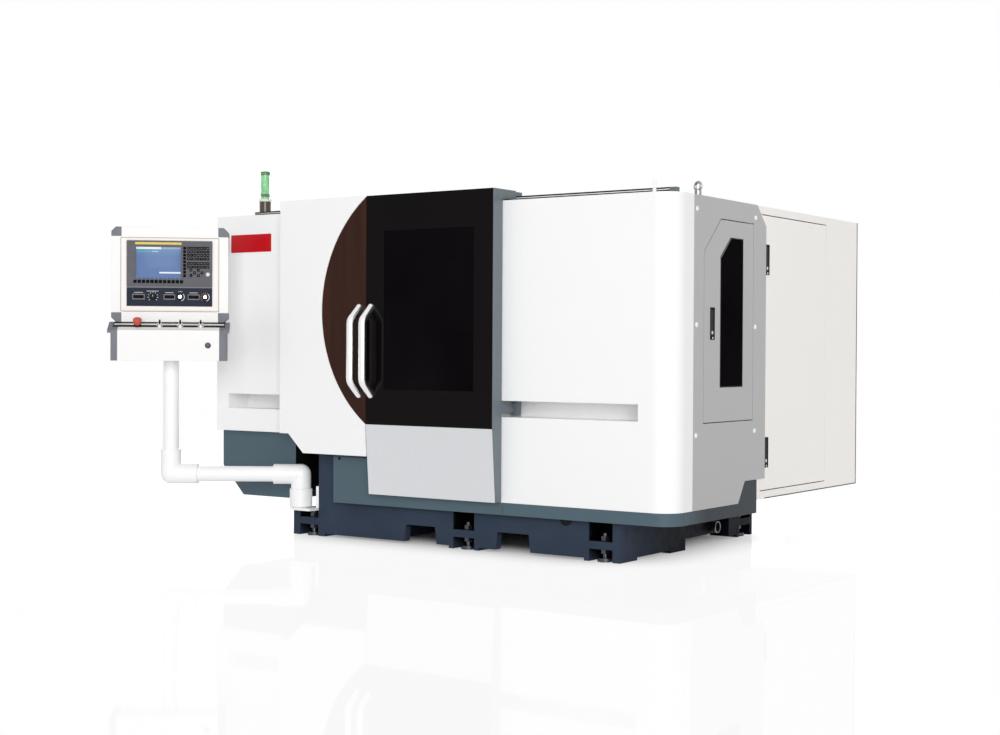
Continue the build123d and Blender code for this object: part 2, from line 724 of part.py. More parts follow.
def fork_pocket(x):
    """A tapered slot for one lift-truck fork, right through from front to back."""
    taper = outline(
        (x - FORK_W_BOTTOM / 2, BED_BOTTOM),
        (x + FORK_W_BOTTOM / 2, BED_BOTTOM),
        (x + FORK_W_TOP / 2, FORK_TOP),
        (x - FORK_W_TOP / 2, FORK_TOP),
    )
    return front_prism(taper, BED_FRONT, BED_REAR)


def bed():
    front = block(BED_LEFT, BED_RIGHT, BED_FRONT, BED_MID, BED_BOTTOM, BED_TOP)
    front -= block(
        BED_LEFT + BED_WALL,
        BED_RIGHT - BED_WALL,
        BED_FRONT + BED_WALL,
        BED_MID - BED_WALL,
        BED_BOTTOM,
        BED_TOP - BED_DECK,
    )
    for rib in RIB_CENTRES:
        front += block(
            rib - BED_WALL / 2,
            rib + BED_WALL / 2,
            BED_FRONT + BED_WALL,
            BED_MID - BED_WALL,
            BED_BOTTOM,
            BED_TOP - BED_DECK,
        )
    toe = block(FOOT_TOE_LEFT, BED_LEFT, BED_FRONT, FOOT_TOE_REAR, BED_BOTTOM, FOOT_TOE_TOP)
    plinth = block(PLINTH_LEFT, PLINTH_RIGHT, BED_MID, BED_REAR, BED_BOTTOM, PLINTH_TOP)
    column = block(COLUMN_LEFT, COLUMN_RIGHT, BED_MID, BED_REAR, PLINTH_TOP, BED_TOP)
    plinth -= block(
        PLINTH_LEFT + BED_WALL,
        PLINTH_RIGHT - BED_WALL,
        BED_MID,
        BED_REAR - BED_WALL,
        BED_BOTTOM,
        PLINTH_TOP - BED_WALL,
    )
    body = front + toe + plinth + column
    body -= block(
        COLUMN_LEFT + BED_WALL,
        COLUMN_RIGHT - BED_WALL,
        BED_MID,
        BED_REAR - BED_WALL,
        PLINTH_TOP - BED_WALL,
        BED_TOP - BED_DECK,
    )
    gap_top = PLINTH_TOP - BED_WALL
    arch = outline(
        (BED_MID, BED_BOTTOM),
        (PLINTH_GAP_REAR, BED_BOTTOM),
        (PLINTH_GAP_REAR, gap_top),
        (PLINTH_GAP_FRONT, gap_top),
        (PLINTH_GAP_FRONT, PLINTH_ARCH_TOP),
        (BED_MID, PLINTH_ARCH_TOP),
    )
    body -= side_prism(arch, PLINTH_LEFT, PLINTH_RIGHT)
    for heel in bed_heels():
        body += heel
    feet = list(zip(foot_places(), foot_tops()))
    for place, top in feet[1:]:
        body += place * foot_block(top + FOOT_ROOF)
    for place, top in feet:
        body -= place * foot_pocket(top)
    for x in FORK_POCKETS:
        body -= fork_pocket(x)
    return body


def levelling_foot():
    y = FOOT_SETBACK
    pad = rod_z(0, y, FLOOR_Z, FLOOR_Z + FOOT_PAD_H, FOOT_PAD_R)
    screw = rod_z(0, y, FLOOR_Z + FOOT_PAD_H, FOOT_SCREW_TOP, FOOT_SCREW_R)
    nut = RegularPolygon(FOOT_NUT_R, 6)
    lower = Pos(0, y, LEDGE_BOTTOM - FOOT_NUT_H) * extrude(nut, amount=FOOT_NUT_H)
    upper = Pos(0, y, LEDGE_TOP) * extrude(nut, amount=FOOT_NUT_H)
    return pad + screw + lower + upper


def levelling_feet():
    return [place * levelling_foot() for place in foot_places()]


def left_door_outline():
    bottom = LEFT_DOOR_BOTTOM
    return outline(
        (LEFT_DOOR_LEFT, bottom + NOTCH_H),
        (LEFT_DOOR_LEFT + NOTCH_FLAT, bottom + NOTCH_H),
        (LEFT_DOOR_LEFT + NOTCH_FLAT + NOTCH_RUN, bottom),
        (LEFT_DOOR_RIGHT, bottom),
        (LEFT_DOOR_RIGHT, DOOR_TOP),
        (LEFT_DOOR_LEFT, DOOR_TOP),
    )


def inlay_segment(lap):
    """The circle segment of the left door's inlay, widened by lap behind the door sheet."""
    half = (INLAY_TOP - INLAY_BOTTOM) / 2
    radius = (half**2 + INLAY_BULGE**2) / (2 * INLAY_BULGE)
    centre_z = (INLAY_TOP + INLAY_BOTTOM) / 2
    disc = Pos(LEFT_DOOR_RIGHT - INLAY_BULGE + radius, centre_z) * Circle(radius + lap)
    window_h = INLAY_TOP - INLAY_BOTTOM
    window = Pos(LEFT_DOOR_RIGHT - INLAY_BULGE, centre_z) * Rectangle(2 * INLAY_BULGE, window_h)
    return disc & window


def left_door_inlay():
    face = DOOR_FACE + SHEET
    return front_prism(inlay_segment(INLAY_LAP), face, face + INLAY_T)


def left_door_panel():
    panel = front_tray(left_door_outline(), DOOR_FACE, DOOR_BACK)
    panel -= front_prism(inlay_segment(0), DOOR_FACE, DOOR_FACE + SHEET)
    return panel - left_door_inlay()


def handle(x, foot_y):
    """A bent tube handle in the plane X = x, with round ends set flush on the door at foot_y."""
    bar_y = DOOR_FACE - HANDLE_REACH
    path = FilletPolyline(
        (x, foot_y, HANDLE_BOTTOM),
        (x, bar_y, HANDLE_BOTTOM + HANDLE_LEG_RISE),
        (x, bar_y, HANDLE_TOP - HANDLE_LEG_RISE),
        (x, foot_y, HANDLE_TOP),
        radius=HANDLE_BEND_R,
    )
    tube = sweep(Plane(path @ 0, z_dir=path % 0) * Circle(HANDLE_D / 2), path=path)
    for z in (HANDLE_BOTTOM, HANDLE_TOP):
        tube += Pos(x, foot_y, z) * Sphere(HANDLE_D / 2)
    behind = block(
        x - HANDLE_D,
        x + HANDLE_D,
        foot_y,
        foot_y + HANDLE_D,
        HANDLE_BOTTOM - HANDLE_D,
        HANDLE_TOP + HANDLE_D,
    )
    return tube - behind


def hanger(x):
    """An arm under the door's top rim with a shoe that straddles the rail."""
    arm_top = DOOR_TOP - SHEET
    arm_low = arm_top - HANGER_T
    rear = RAIL_Y + RAIL_W + SHOE_CHEEK
    left, right = x - HANGER_W / 2, x + HANGER_W / 2
    arm = block(left, right, DOOR_FACE + DOOR_T / 2, rear, arm_low, arm_top)
    shoe = block(left, right, RAIL_Y - SHOE_CHEEK, rear, RAIL_TOP - SHOE_DROP, arm_low)
    rail = block(
        left,
        right,
        RAIL_Y - SLIDE_CLEAR,
        RAIL_Y + RAIL_W + SLIDE_CLEAR,
        RAIL_TOP - SHOE_DROP,
        RAIL_TOP + SLIDE_CLEAR,
    )
    return arm + shoe - rail


def guide_block(x):
    """The block that runs in a groove, on the end of a carrier's tongue."""
    return block(
        x - GUIDE_BLOCK_W / 2,
        x + GUIDE_BLOCK_W / 2,
        TONGUE_REACH,
        TONGUE_REACH + GUIDE_BLOCK_L,
        GROOVE_BOTTOM + GUIDE_CLEAR,
        GROOVE_TOP - GUIDE_CLEAR,
    )


def tongue_points(y):
    """The tongue's outline from a carrier's back edge at y, top to bottom."""
    half = TONGUE_H / 2
    return (
        (y, GROOVE_TOP - GUIDE_CLEAR),
        (0, GROOVE_TOP - GUIDE_CLEAR),
        (TONGUE_REACH, GROOVE_MID + half),
        (TONGUE_REACH, GROOVE_MID - half),
        (y, GROOVE_MID - half),
    )


def left_door_carrier():
    left = LEFT_DOOR_LEFT + SHEET
    front = DOOR_FACE + SHEET
    plate = outline(
        (front, GROOVE_MID - TONGUE_H / 2),
        (front, GROOVE_TOP - GUIDE_CLEAR),
        *tongue_points(DOOR_BACK),
    )
    tongue = side_prism(plate, left, left + CARRIER_T) + guide_block(left + CARRIER_T / 2)
    inset_x = SHEET + HANGER_INSET + HANGER_W / 2
    return [tongue, hanger(LEFT_DOOR_LEFT + inset_x), hanger(LEFT_DOOR_RIGHT - inset_x)]


def right_door_panel():
    left, right = RIGHT_DOOR_LEFT, RIGHT_PAN_RIGHT
    face = outline((left, KICK_TOP), (right, KICK_TOP), (right, DOOR_TOP), (left, DOOR_TOP))
    panel = front_tray(face, DOOR_FACE, DOOR_BACK)
    return panel - front_prism(window_outline(0), DOOR_FACE, DOOR_FACE + SHEET)


def window_outline(grow):
    right = RIGHT_DOOR_RIGHT - WINDOW_RIGHT_MARGIN
    middle = Pos(right - WINDOW_W / 2, WINDOW_BOTTOM + WINDOW_H / 2)
    return middle * Rectangle(WINDOW_W + 2 * grow, WINDOW_H + 2 * grow)


def right_door_window():
    face = DOOR_FACE + SHEET
    return front_prism(window_outline(GLASS_LAP), face, face + GLASS_T)


def kick_plate():
    toe = DOOR_FACE + KICK_LEAN
    rear = DOOR_FACE + KICK_FLANGE
    profile = outline(
        (DOOR_FACE, KICK_TOP),
        (toe, RIGHT_DOOR_BOTTOM),
        (rear, RIGHT_DOOR_BOTTOM),
        (rear, RIGHT_DOOR_BOTTOM + SHEET),
        (toe + SHEET, RIGHT_DOOR_BOTTOM + SHEET),
        (DOOR_FACE + SHEET, KICK_TOP - SHEET),
        (rear, KICK_TOP - SHEET),
        (rear, KICK_TOP),
    )
    return side_prism(profile, RIGHT_DOOR_LEFT, RIGHT_PAN_RIGHT)


def right_door_carrier():
    plate = outline(
        (DOOR_FACE, DOOR_TOP),
        (GUSSET_REACH, DOOR_TOP),
        (GUSSET_REACH, COVER_TOP + ROOF_CLEAR),
        (DOOR_BACK, COVER_TOP + ROOF_CLEAR),
        *tongue_points(DOOR_BACK),
        (DOOR_BACK, RIGHT_DOOR_BOTTOM),
        (DOOR_FACE + KICK_LEAN, RIGHT_DOOR_BOTTOM),
        (DOOR_FACE, KICK_TOP),
    )
    side = side_prism(plate, RIGHT_PAN_RIGHT, RIGHT_DOOR_RIGHT)
    side += guide_block(RIGHT_PAN_RIGHT + CARRIER_T / 2)
    left_hanger = hanger(RIGHT_DOOR_LEFT + SHEET + HANGER_INSET + HANGER_W / 2)
    return [side, left_hanger, hanger(RIGHT_PAN_RIGHT - SHEET - HANGER_W / 2)]


def door_rail(x0, x1):
    bar = block(x0, x1, RAIL_Y, RAIL_Y + RAIL_W, COVER_TOP, RAIL_TOP)
    middle = COVER_TOP + RAIL_H / 2
    groove = block(
        x0 + RAIL_W, x1 - RAIL_W, RAIL_Y, RAIL_Y + RAIL_GROOVE,
        middle - RAIL_GROOVE / 2, middle + RAIL_GROOVE / 2,
    )
    return bar - groove


def door_rails():
    left = door_rail(RAIL_LEFT_END, LEFT_DOOR_RIGHT)
    return [left, door_rail(RIGHT_DOOR_LEFT, RAIL_RIGHT_END)]


def hinge_axis(x_face, y_rear):
    """Where a leaf's pivot pins stand: behind its face and in from its rear edge."""
    return x_face - SHEET - HINGE_BLOCK / 2, y_rear - HINGE_SETBACK


def leaf(sketch, x_face, y_rear, z0, z1):
    """A hinged door tray with bores for its pivot pins in the top and bottom rims."""
    x, y = hinge_axis(x_face, y_rear)
    return side_tray(sketch, x_face, LEAF_T) - rod_z(x, y, z0, z1, PIN_R + RUNNING_CLEAR)


def pivot_hinges(x_face, y_rear, z0, z1):
    """The fixed blocks and pins above and below a leaf, on the back of the panel round it."""
    x, y = hinge_axis(x_face, y_rear)
    back = x_face - SHEET
    reach = LEAF_GAP + HINGE_BLOCK
    pieces = []
    for edge, away in ((z1, 1), (z0, -1)):
        near, far = edge + away * LEAF_GAP, edge + away * (LEAF_GAP + 2 * HINGE_BLOCK)
        low, high = sorted((near, far))
        body = block(back - HINGE_BLOCK, back, y - HINGE_BLOCK, y + reach, low, high)
        pin_low, pin_high = sorted((near, near - away * PIN_LENGTH))
        pieces.append(body + rod_z(x, y, pin_low, pin_high, PIN_R))
    return pieces


def door_hinges():
    side = pivot_hinges(0, SIDE_DOOR_REAR, SIDE_DOOR_BOTTOM, SIDE_DOOR_TOP)
    return side + pivot_hinges(
        CABINET_FACE, CABINET_DOOR_REAR, CABINET_DOOR_BOTTOM, CABINET_DOOR_TOP
    )


def side_door():
    door = leaf(side_door_outline(), 0, SIDE_DOOR_REAR, SIDE_DOOR_BOTTOM, SIDE_DOOR_TOP)
    door -= side_prism(side_window_outline(), -SHEET, 0)
    return door - latch_hole(*side_latch_place())


def side_window():
    return side_prism(side_window_outline(GLASS_LAP), -SHEET - SIDE_GLASS_T, -SHEET)


def latch_axis(x_face, z_bottom):
    """Where a latch lever's pin lies, seen along Y."""
    return x_face - LATCH_LEVER_T / 2, z_bottom + LATCH_H - LATCH_WALL - LATCH_LEVER_T


def latch_hole(x_face, y0, z0):
    return block(x_face - SHEET, x_face, y0, y0 + LATCH_W, z0, z0 + LATCH_H)


def latch_body(x_face, y0, z0):
    """A tray set into a leaf, with bores for the lever's pin in its side walls."""
    x, z = latch_axis(x_face, z0)
    back, front = x_face - LATCH_DEPTH, x_face + LATCH_STAND
    wall = LATCH_WALL
    tray = block(back, front, y0, y0 + LATCH_W, z0, z0 + LATCH_H)
    tray -= block(
        back + wall, front, y0 + wall, y0 + LATCH_W - wall, z0 + wall, z0 + LATCH_H - wall
    )
    return tray - rod_y(x, y0, y0 + LATCH_W, z, LATCH_PIN_R + RUNNING_CLEAR)


def latch_lever(x_face, y0, z0):
    x, z = latch_axis(x_face, z0)
    left = y0 + LATCH_WALL + LATCH_SIDE_CLEAR
    right = y0 + LATCH_W - LATCH_WALL - LATCH_SIDE_CLEAR
    half = LATCH_LEVER_T / 2
    paddle = block(x - half, x + half, left, right, z - LATCH_LEVER_H, z)
    hub = rod_y(x, left, right, z, half)
    return paddle + hub + rod_y(x, y0, y0 + LATCH_W, z, LATCH_PIN_R)


def side_latch_place():
    return 0, SIDE_DOOR_FRONT + LATCH_FRONT_MARGIN, SIDE_LATCH_BOTTOM


def cabinet_latch_places():
    y = CABINET_DOOR_FRONT + CABINET_LATCH_FRONT_MARGIN
    return [(CABINET_FACE, y, z) for z in CABINET_LATCH_BOTTOMS]


def cabinet_door_outline(grow=0.0):
    y0, y1 = CABINET_DOOR_FRONT - grow, CABINET_DOOR_REAR + grow
    z0, z1 = CABINET_DOOR_BOTTOM - grow, CABINET_DOOR_TOP + grow
    return outline((y0, z0), (y1, z0), (y1, z1), (y0, z1))


def cabinet_door():
    door = leaf(
        cabinet_door_outline(), CABINET_FACE, CABINET_DOOR_REAR, CABINET_DOOR_BOTTOM, CABINET_DOOR_TOP
    )
    for place in cabinet_latch_places():
        door -= latch_hole(*place)
    return door


def cabinet_shell():
    left = CABINET_FACE - CABINET_DEPTH
    shell = block(left, CABINET_FACE, CABINET_FRONT, CABINET_REAR, CABINET_BOTTOM, CABINET_TOP)
    shell -= block(
        left + SHEET,
        CABINET_FACE - SHEET,
        CABINET_FRONT + SHEET,
        CABINET_REAR - SHEET,
        CABINET_BOTTOM + SHEET,
        CABINET_TOP - SHEET,
    )
    shell -= side_prism(cabinet_door_outline(LEAF_GAP), CABINET_FACE - SHEET, CABINET_FACE)
    for y in (CABINET_FRONT + CABINET_FOOT_L, BED_REAR - 2 * CABINET_FOOT_L):
        shell += block(
            left, PLINTH_RIGHT, y, y + CABINET_FOOT_L, PLINTH_TOP, CABINET_BOTTOM
        )
    return shell


def cabinet_drives():
    """The mounting plate on its standoffs, and the row of drive modules on it."""
    back = CABINET_FACE - CABINET_DEPTH + SHEET
    plate_back = back + MOUNT_PLATE_STANDOFF
    plate_face = plate_back + MOUNT_PLATE_T
    y0, y1 = CABINET_DOOR_FRONT, CABINET_DOOR_REAR
    z0, z1 = CABINET_DOOR_BOTTOM, CABINET_DOOR_TOP
    plate = block(plate_back, plate_face, y0, y1, z0, z1)
    foot = MOUNT_PLATE_STANDOFF
    for y in (y0, y1 - foot):
        for z in (z0, z1 - foot):
            plate += block(back, plate_back, y, y + foot, z, z + foot)
    middle_y, middle_z = (y0 + y1) / 2, (z0 + z1) / 2
    rows = (middle_z + MODULE_W / 2, middle_z - MODULE_W / 2 - MODULE_H)
    pieces = [plate]
    first = middle_y - MODULE_PITCH * (MODULE_COUNT - 1) / 2 - MODULE_W / 2
    for low in rows:
        for i in range(MODULE_COUNT):
            y = first + i * MODULE_PITCH
            pieces.append(
                block(plate_face, plate_face + MODULE_D, y, y + MODULE_W, low, low + MODULE_H)
            )
    return pieces


def table_span():
    return WHEEL_PLANE - TABLE_LENGTH / 2, WHEEL_PLANE + TABLE_LENGTH / 2


def tailstock_face():
    return table_span()[1] - TAILSTOCK_END_MARGIN - TAILSTOCK_LENGTH


def guideways():
    """Two flat ways along the bed for the table, and two across it for the wheelhead."""
    bars = []
    for y in (TABLE_FRONT + TABLE_WAY_INSET, TABLE_REAR - TABLE_WAY_INSET - WAY_W):
        bars.append(
            block(BED_LEFT + WAY_MARGIN, BED_RIGHT - WAY_MARGIN, y, y + WAY_W, BED_TOP, WAY_TOP)
        )
    for x in (CROSS_SLIDE_LEFT + TABLE_WAY_INSET, CROSS_SLIDE_RIGHT - TABLE_WAY_INSET - WAY_W):
        bars.append(
            block(x, x + WAY_W, CROSS_WAY_FRONT, BED_REAR - WAY_MARGIN, BED_TOP, WAY_TOP)
        )
    return bars


def work_table():
    left, right = table_span()
    table = block(left, right, TABLE_FRONT, TABLE_REAR, SLIDE_BASE, TABLE_TOP)
    half = SCREW_CHANNEL_W / 2
    y0, y1 = WORK_AXIS_Y - half, WORK_AXIS_Y + half
    channel_top = SLIDE_BASE + SCREW_CHANNEL_H
    table -= block(left, right, y0, y1, SLIDE_BASE, channel_top)
    nut_left, nut_right = WHEEL_PLANE - NUT_LENGTH / 2, WHEEL_PLANE + NUT_LENGTH / 2
    nut_low = SCREW_Z - 2 * SCREW_R
    table += block(nut_left, nut_right, y0, y1, nut_low, channel_top)
    return table - rod_x(nut_left, nut_right, WORK_AXIS_Y, SCREW_Z, SCREW_R + RUNNING_CLEAR)


def table_screw():
    return rod_x(BED_LEFT + WAY_MARGIN, BED_RIGHT - END_GAP, WORK_AXIS_Y, SCREW_Z, SCREW_R)


def infeed_screw():
    return rod_y(CROSS_SCREW_X, CROSS_WAY_FRONT, BED_REAR - END_GAP, SCREW_Z, SCREW_R)


def axis_servos():
    """A servo with its flange on the bed and a far bearing for each feed screw."""
    half = SERVO_SIZE / 2
    bore = SCREW_R + RUNNING_CLEAR
    y, x = WORK_AXIS_Y, CROSS_SCREW_X
    low, high = SCREW_Z - half, SCREW_Z + half
    flange_low = low - SERVO_FLANGE_DROP
    plate_end = BED_RIGHT + SERVO_FLANGE_T
    table_servo = block(BED_RIGHT, plate_end, y - half, y + half, flange_low, high)
    table_servo += block(plate_end, plate_end + SERVO_LENGTH, y - half, y + half, low, high)
    plate_end = BED_REAR + SERVO_FLANGE_T
    infeed_servo = block(x - half, x + half, BED_REAR, plate_end, flange_low, high)
    infeed_servo += block(x - half, x + half, plate_end, plate_end + SERVO_LENGTH, low, high)
    bearing_half = BEARING_W / 2
    bearing_top = BED_TOP + BEARING_TOP
    left = BED_LEFT + WAY_MARGIN
    table_bearing = block(
        left, left + BEARING_L, y - bearing_half, y + bearing_half, BED_TOP, bearing_top
    )
    table_bearing -= rod_x(left, left + BEARING_L, y, SCREW_Z, bore)
    front = CROSS_WAY_FRONT
    infeed_bearing = block(
        x - bearing_half, x + bearing_half, front, front + BEARING_L, BED_TOP, bearing_top
    )
    infeed_bearing -= rod_y(x, front, front + BEARING_L, SCREW_Z, bore)
    return [table_servo, infeed_servo, table_bearing, infeed_bearing]


def head_profile(width, crown):
    """The end view (Y, Z) of a head on the table, with its top edges bevelled."""
    y0, y1 = WORK_AXIS_Y - width / 2, WORK_AXIS_Y + width / 2
    top = WORK_AXIS_Z + crown
    return outline(
        (y0, TABLE_TOP),
        (y1, TABLE_TOP),
        (y1, top - HEAD_BEVEL),
        (y1 - HEAD_BEVEL, top),
        (y0 + HEAD_BEVEL, top),
        (y0, top - HEAD_BEVEL),
    )


def workhead():
    face = WHEEL_PLANE - WORK_FACE_TO_WHEEL
    rear = face - WORKHEAD_LENGTH
    body = side_prism(head_profile(WORKHEAD_W, HEAD_CROWN), rear, face)
    return body - rod_x(rear, face, WORK_AXIS_Y, WORK_AXIS_Z, WORK_SPINDLE_R + RUNNING_CLEAR)


def centre_point(x, direction):
    """A cone on the work axis from x to its tip."""
    cone = Cone(CENTRE_R, 0, CENTRE_LENGTH, align=(Align.CENTER, Align.CENTER, Align.MIN))
    return Pos(x, WORK_AXIS_Y, WORK_AXIS_Z) * Rot(0, direction * 90, 0) * cone


def work_spindle():
    face = WHEEL_PLANE - WORK_FACE_TO_WHEEL
    flange = face + SLIDE_GAP
    nose = flange + WORK_FLANGE_T
    spindle = rod_x(face - WORKHEAD_LENGTH, flange, WORK_AXIS_Y, WORK_AXIS_Z, WORK_SPINDLE_R)
    spindle += rod_x(flange, nose, WORK_AXIS_Y, WORK_AXIS_Z, WORK_FLANGE_R)
    pin_z = WORK_AXIS_Z + (WORK_FLANGE_R + CENTRE_R) / 2
    spindle += rod_x(nose, nose + WORK_FLANGE_T, WORK_AXIS_Y, pin_z, CENTRE_R / 2)
    return spindle + centre_point(nose, 1)


def tailstock():
    face = tailstock_face()
    rear = face + TAILSTOCK_LENGTH
    body = side_prism(head_profile(TAILSTOCK_W, HEAD_CROWN), face, rear)
    return body - rod_x(face, rear, WORK_AXIS_Y, WORK_AXIS_Z, QUILL_R + RUNNING_CLEAR)


def quill():
    face = tailstock_face()
    nose = face - QUILL_OUT
    barrel = rod_x(nose, face + QUILL_TAIL, WORK_AXIS_Y, WORK_AXIS_Z, QUILL_R)
    return barrel + centre_point(nose, -1)


def wheelhead():
    """The cross slide with the spindle housing that stands on it."""
    base = block(
        CROSS_SLIDE_LEFT,
        CROSS_SLIDE_RIGHT,
        CROSS_SLIDE_FRONT,
        CROSS_SLIDE_REAR,
        SLIDE_BASE,
        CROSS_SLIDE_TOP,
    )
    half = SCREW_CHANNEL_W / 2
    x0, x1 = CROSS_SCREW_X - half, CROSS_SCREW_X + half
    channel_top = SLIDE_BASE + SCREW_CHANNEL_H
    base -= block(x0, x1, CROSS_SLIDE_FRONT, CROSS_SLIDE_REAR, SLIDE_BASE, channel_top)
    middle = (CROSS_SLIDE_FRONT + CROSS_SLIDE_REAR) / 2
    nut = (middle - NUT_LENGTH / 2, middle + NUT_LENGTH / 2)
    base += block(x0, x1, *nut, SCREW_Z - 2 * SCREW_R, channel_top)
    base -= rod_y(CROSS_SCREW_X, *nut, SCREW_Z, SCREW_R + RUNNING_CLEAR)
    y0, y1 = WHEEL_Y - HOUSING_HALF_W, WHEEL_Y + HOUSING_HALF_W
    top = WORK_AXIS_Z + HOUSING_CROWN
    profile = outline(
        (CROSS_SLIDE_FRONT, CROSS_SLIDE_TOP),
        (y1 + HEAD_CROWN, CROSS_SLIDE_TOP),
        (y1, WORK_AXIS_Z),
        (y1, top - HEAD_BEVEL),
        (y1 - HEAD_BEVEL, top),
        (y0 + HEAD_BEVEL, top),
        (y0, top - HEAD_BEVEL),
        (y0, WORK_AXIS_Z),
    )
    left = CROSS_SLIDE_LEFT
    housing = side_prism(profile, left, left + HOUSING_LENGTH)
    bore = WHEEL_SPINDLE_R + RUNNING_CLEAR
    return base + housing - rod_x(left, left + HOUSING_LENGTH, WHEEL_Y, WORK_AXIS_Z, bore)


def grinding_wheel():
    """The abrasive wheel, and the spindle with its clamping flanges."""
    half = WHEEL_W / 2
    left, right = WHEEL_PLANE - half, WHEEL_PLANE + half
    wheel = rod_x(left, right, WHEEL_Y, WORK_AXIS_Z, WHEEL_R)
    wheel -= rod_x(left, right, WHEEL_Y, WORK_AXIS_Z, WHEEL_SPINDLE_R)
    spindle = rod_x(
        left - 2 * WHEEL_FLANGE_T,
        CROSS_SLIDE_LEFT + HOUSING_LENGTH - END_GAP,
        WHEEL_Y,
        WORK_AXIS_Z,
        WHEEL_SPINDLE_R,
    )
    for x in (left - WHEEL_FLANGE_T, right):
        spindle += rod_x(x, x + WHEEL_FLANGE_T, WHEEL_Y, WORK_AXIS_Z, WHEEL_FLANGE_R)
    return [wheel, spindle]


def wheel_guard():
    """A round guard that is open towards the work, on a neck on the spindle housing."""
    half = GUARD_W / 2
    left, right = WHEEL_PLANE - half, WHEEL_PLANE + half
    y, z = WHEEL_Y, WORK_AXIS_Z
    guard = rod_x(left, right, y, z, GUARD_R)
    guard -= rod_x(left + GUARD_T, right - GUARD_T, y, z, GUARD_R - GUARD_T)
    guard -= block(left, right, y - GUARD_R, y - GUARD_MOUTH, z - GUARD_R, z + GUARD_R)
    inner = GUARD_NECK_R - GUARD_NECK_T
    guard -= rod_x(right - GUARD_T, right, y, z, inner)
    guard -= rod_x(left, left + GUARD_T, y, z, WHEEL_FLANGE_R)
    neck = rod_x(right, CROSS_SLIDE_LEFT, y, z, GUARD_NECK_R)
    return guard + neck - rod_x(right, CROSS_SLIDE_LEFT, y, z, inner)


def wheel_motor():
    face = CROSS_SLIDE_LEFT + HOUSING_LENGTH
    half = MOTOR_FLANGE / 2
    y, z = WHEEL_Y, WORK_AXIS_Z
    low = max(z - half, CROSS_SLIDE_TOP + SLIDE_GAP)
    flange = block(face, face + MOTOR_FLANGE_T, y - HOUSING_HALF_W, y + HOUSING_HALF_W, low, z + half)
    return flange + rod_x(face + MOTOR_FLANGE_T, face + MOTOR_LENGTH, y, z, MOTOR_R)


def arm_bracket():
    """The plate on the bed, with the shelf, boss and fixed barrel that carry the swing arm."""
    plate_face = BED_LEFT - BRACKET_T
    plate_rear = BED_FRONT + BRACKET_LENGTH
    shelf_rear = PIVOT_Y + BARREL_R
    shelf_top = FOOT_TOE_TOP + SHELF_T
    plate = block(plate_face, BED_LEFT, BED_FRONT, plate_rear, FOOT_TOE_TOP, BRACKET_TOP)
    shelf = block(PIVOT_X - BOSS_R, BED_LEFT, PIVOT_Y - BOSS_R, shelf_rear, FOOT_TOE_TOP, shelf_top)
    boss = rod_z(PIVOT_X, PIVOT_Y, shelf_top, BARREL_BOTTOM, BOSS_R)
    return plate + shelf + boss + rod_z(PIVOT_X, PIVOT_Y, BARREL_BOTTOM, BARREL_TOP, BARREL_R)


def pipe(bottom, top):
    """A straight pipe along local Z."""
    length = top - bottom
    tube = Cylinder(PIPE_R, length) - Cylinder(PIPE_R - PIPE_WALL, length)
    return Pos(0, 0, (bottom + top) / 2) * tube


def elbow(run_x, run_z):
    """A socket elbow at the origin, with a level and an upright run of signed lengths. Its runs meet
    square inside the bend and round outside it."""
    level = rod_x(*sorted((0, run_x)), 0, 0, ELBOW_R)
    upright = rod_z(0, 0, *sorted((0, run_z)), ELBOW_R)
    back_x = ELBOW_R if run_x < 0 else -ELBOW_R
    back_z = ELBOW_R if run_z < 0 else -ELBOW_R
    quarter = block(*sorted((0, back_x)), -ELBOW_R, ELBOW_R, *sorted((0, back_z)))
    return level + upright + (Sphere(ELBOW_R) & quarter)


def swing_arm():
    """Lower elbow, level pipe, outer elbow and riser, in the arm's own frame at the pivot."""
    far = -ARM_LENGTH
    inner = Pos(0, 0, ARM_Z) * elbow(-ELBOW_REACH, BARREL_TOP + SWIVEL_GAP - ARM_Z)
    outer = Pos(far, 0, ARM_Z) * elbow(ELBOW_REACH, RISER_ELBOW_TOP - ARM_Z)
    level = Pos(0, 0, ARM_Z) * Rot(0, -90, 0) * pipe(ELBOW_REACH, ARM_LENGTH - ELBOW_REACH)
    riser = Pos(far, 0, 0) * pipe(RISER_ELBOW_TOP, RISER_TOP)
    return [ARM_PLACE * piece for piece in (inner, level, outer, riser)]


def console_profile():
    return outline(
        (CONSOLE_FRONT, CONSOLE_BOTTOM),
        (CONSOLE_REAR, CONSOLE_BOTTOM),
        (CONSOLE_REAR, HEAD_BOTTOM),
        (HEAD_FRONT, HEAD_BOTTOM),
        (CONSOLE_FRONT, CONSOLE_FRONT_TOP),
    )


def console_stems():
    """The holes that the console's controls pass through, in the console's own frame."""
    holes = [(ESTOP_U, ESTOP_STEM_R)] + [(u, SELECTOR_STEM_R) for u in SELECTOR_US]
    return [rod_z(u, 0, -STEM_LENGTH, SHEET, r + RUNNING_CLEAR) for u, r in holes]


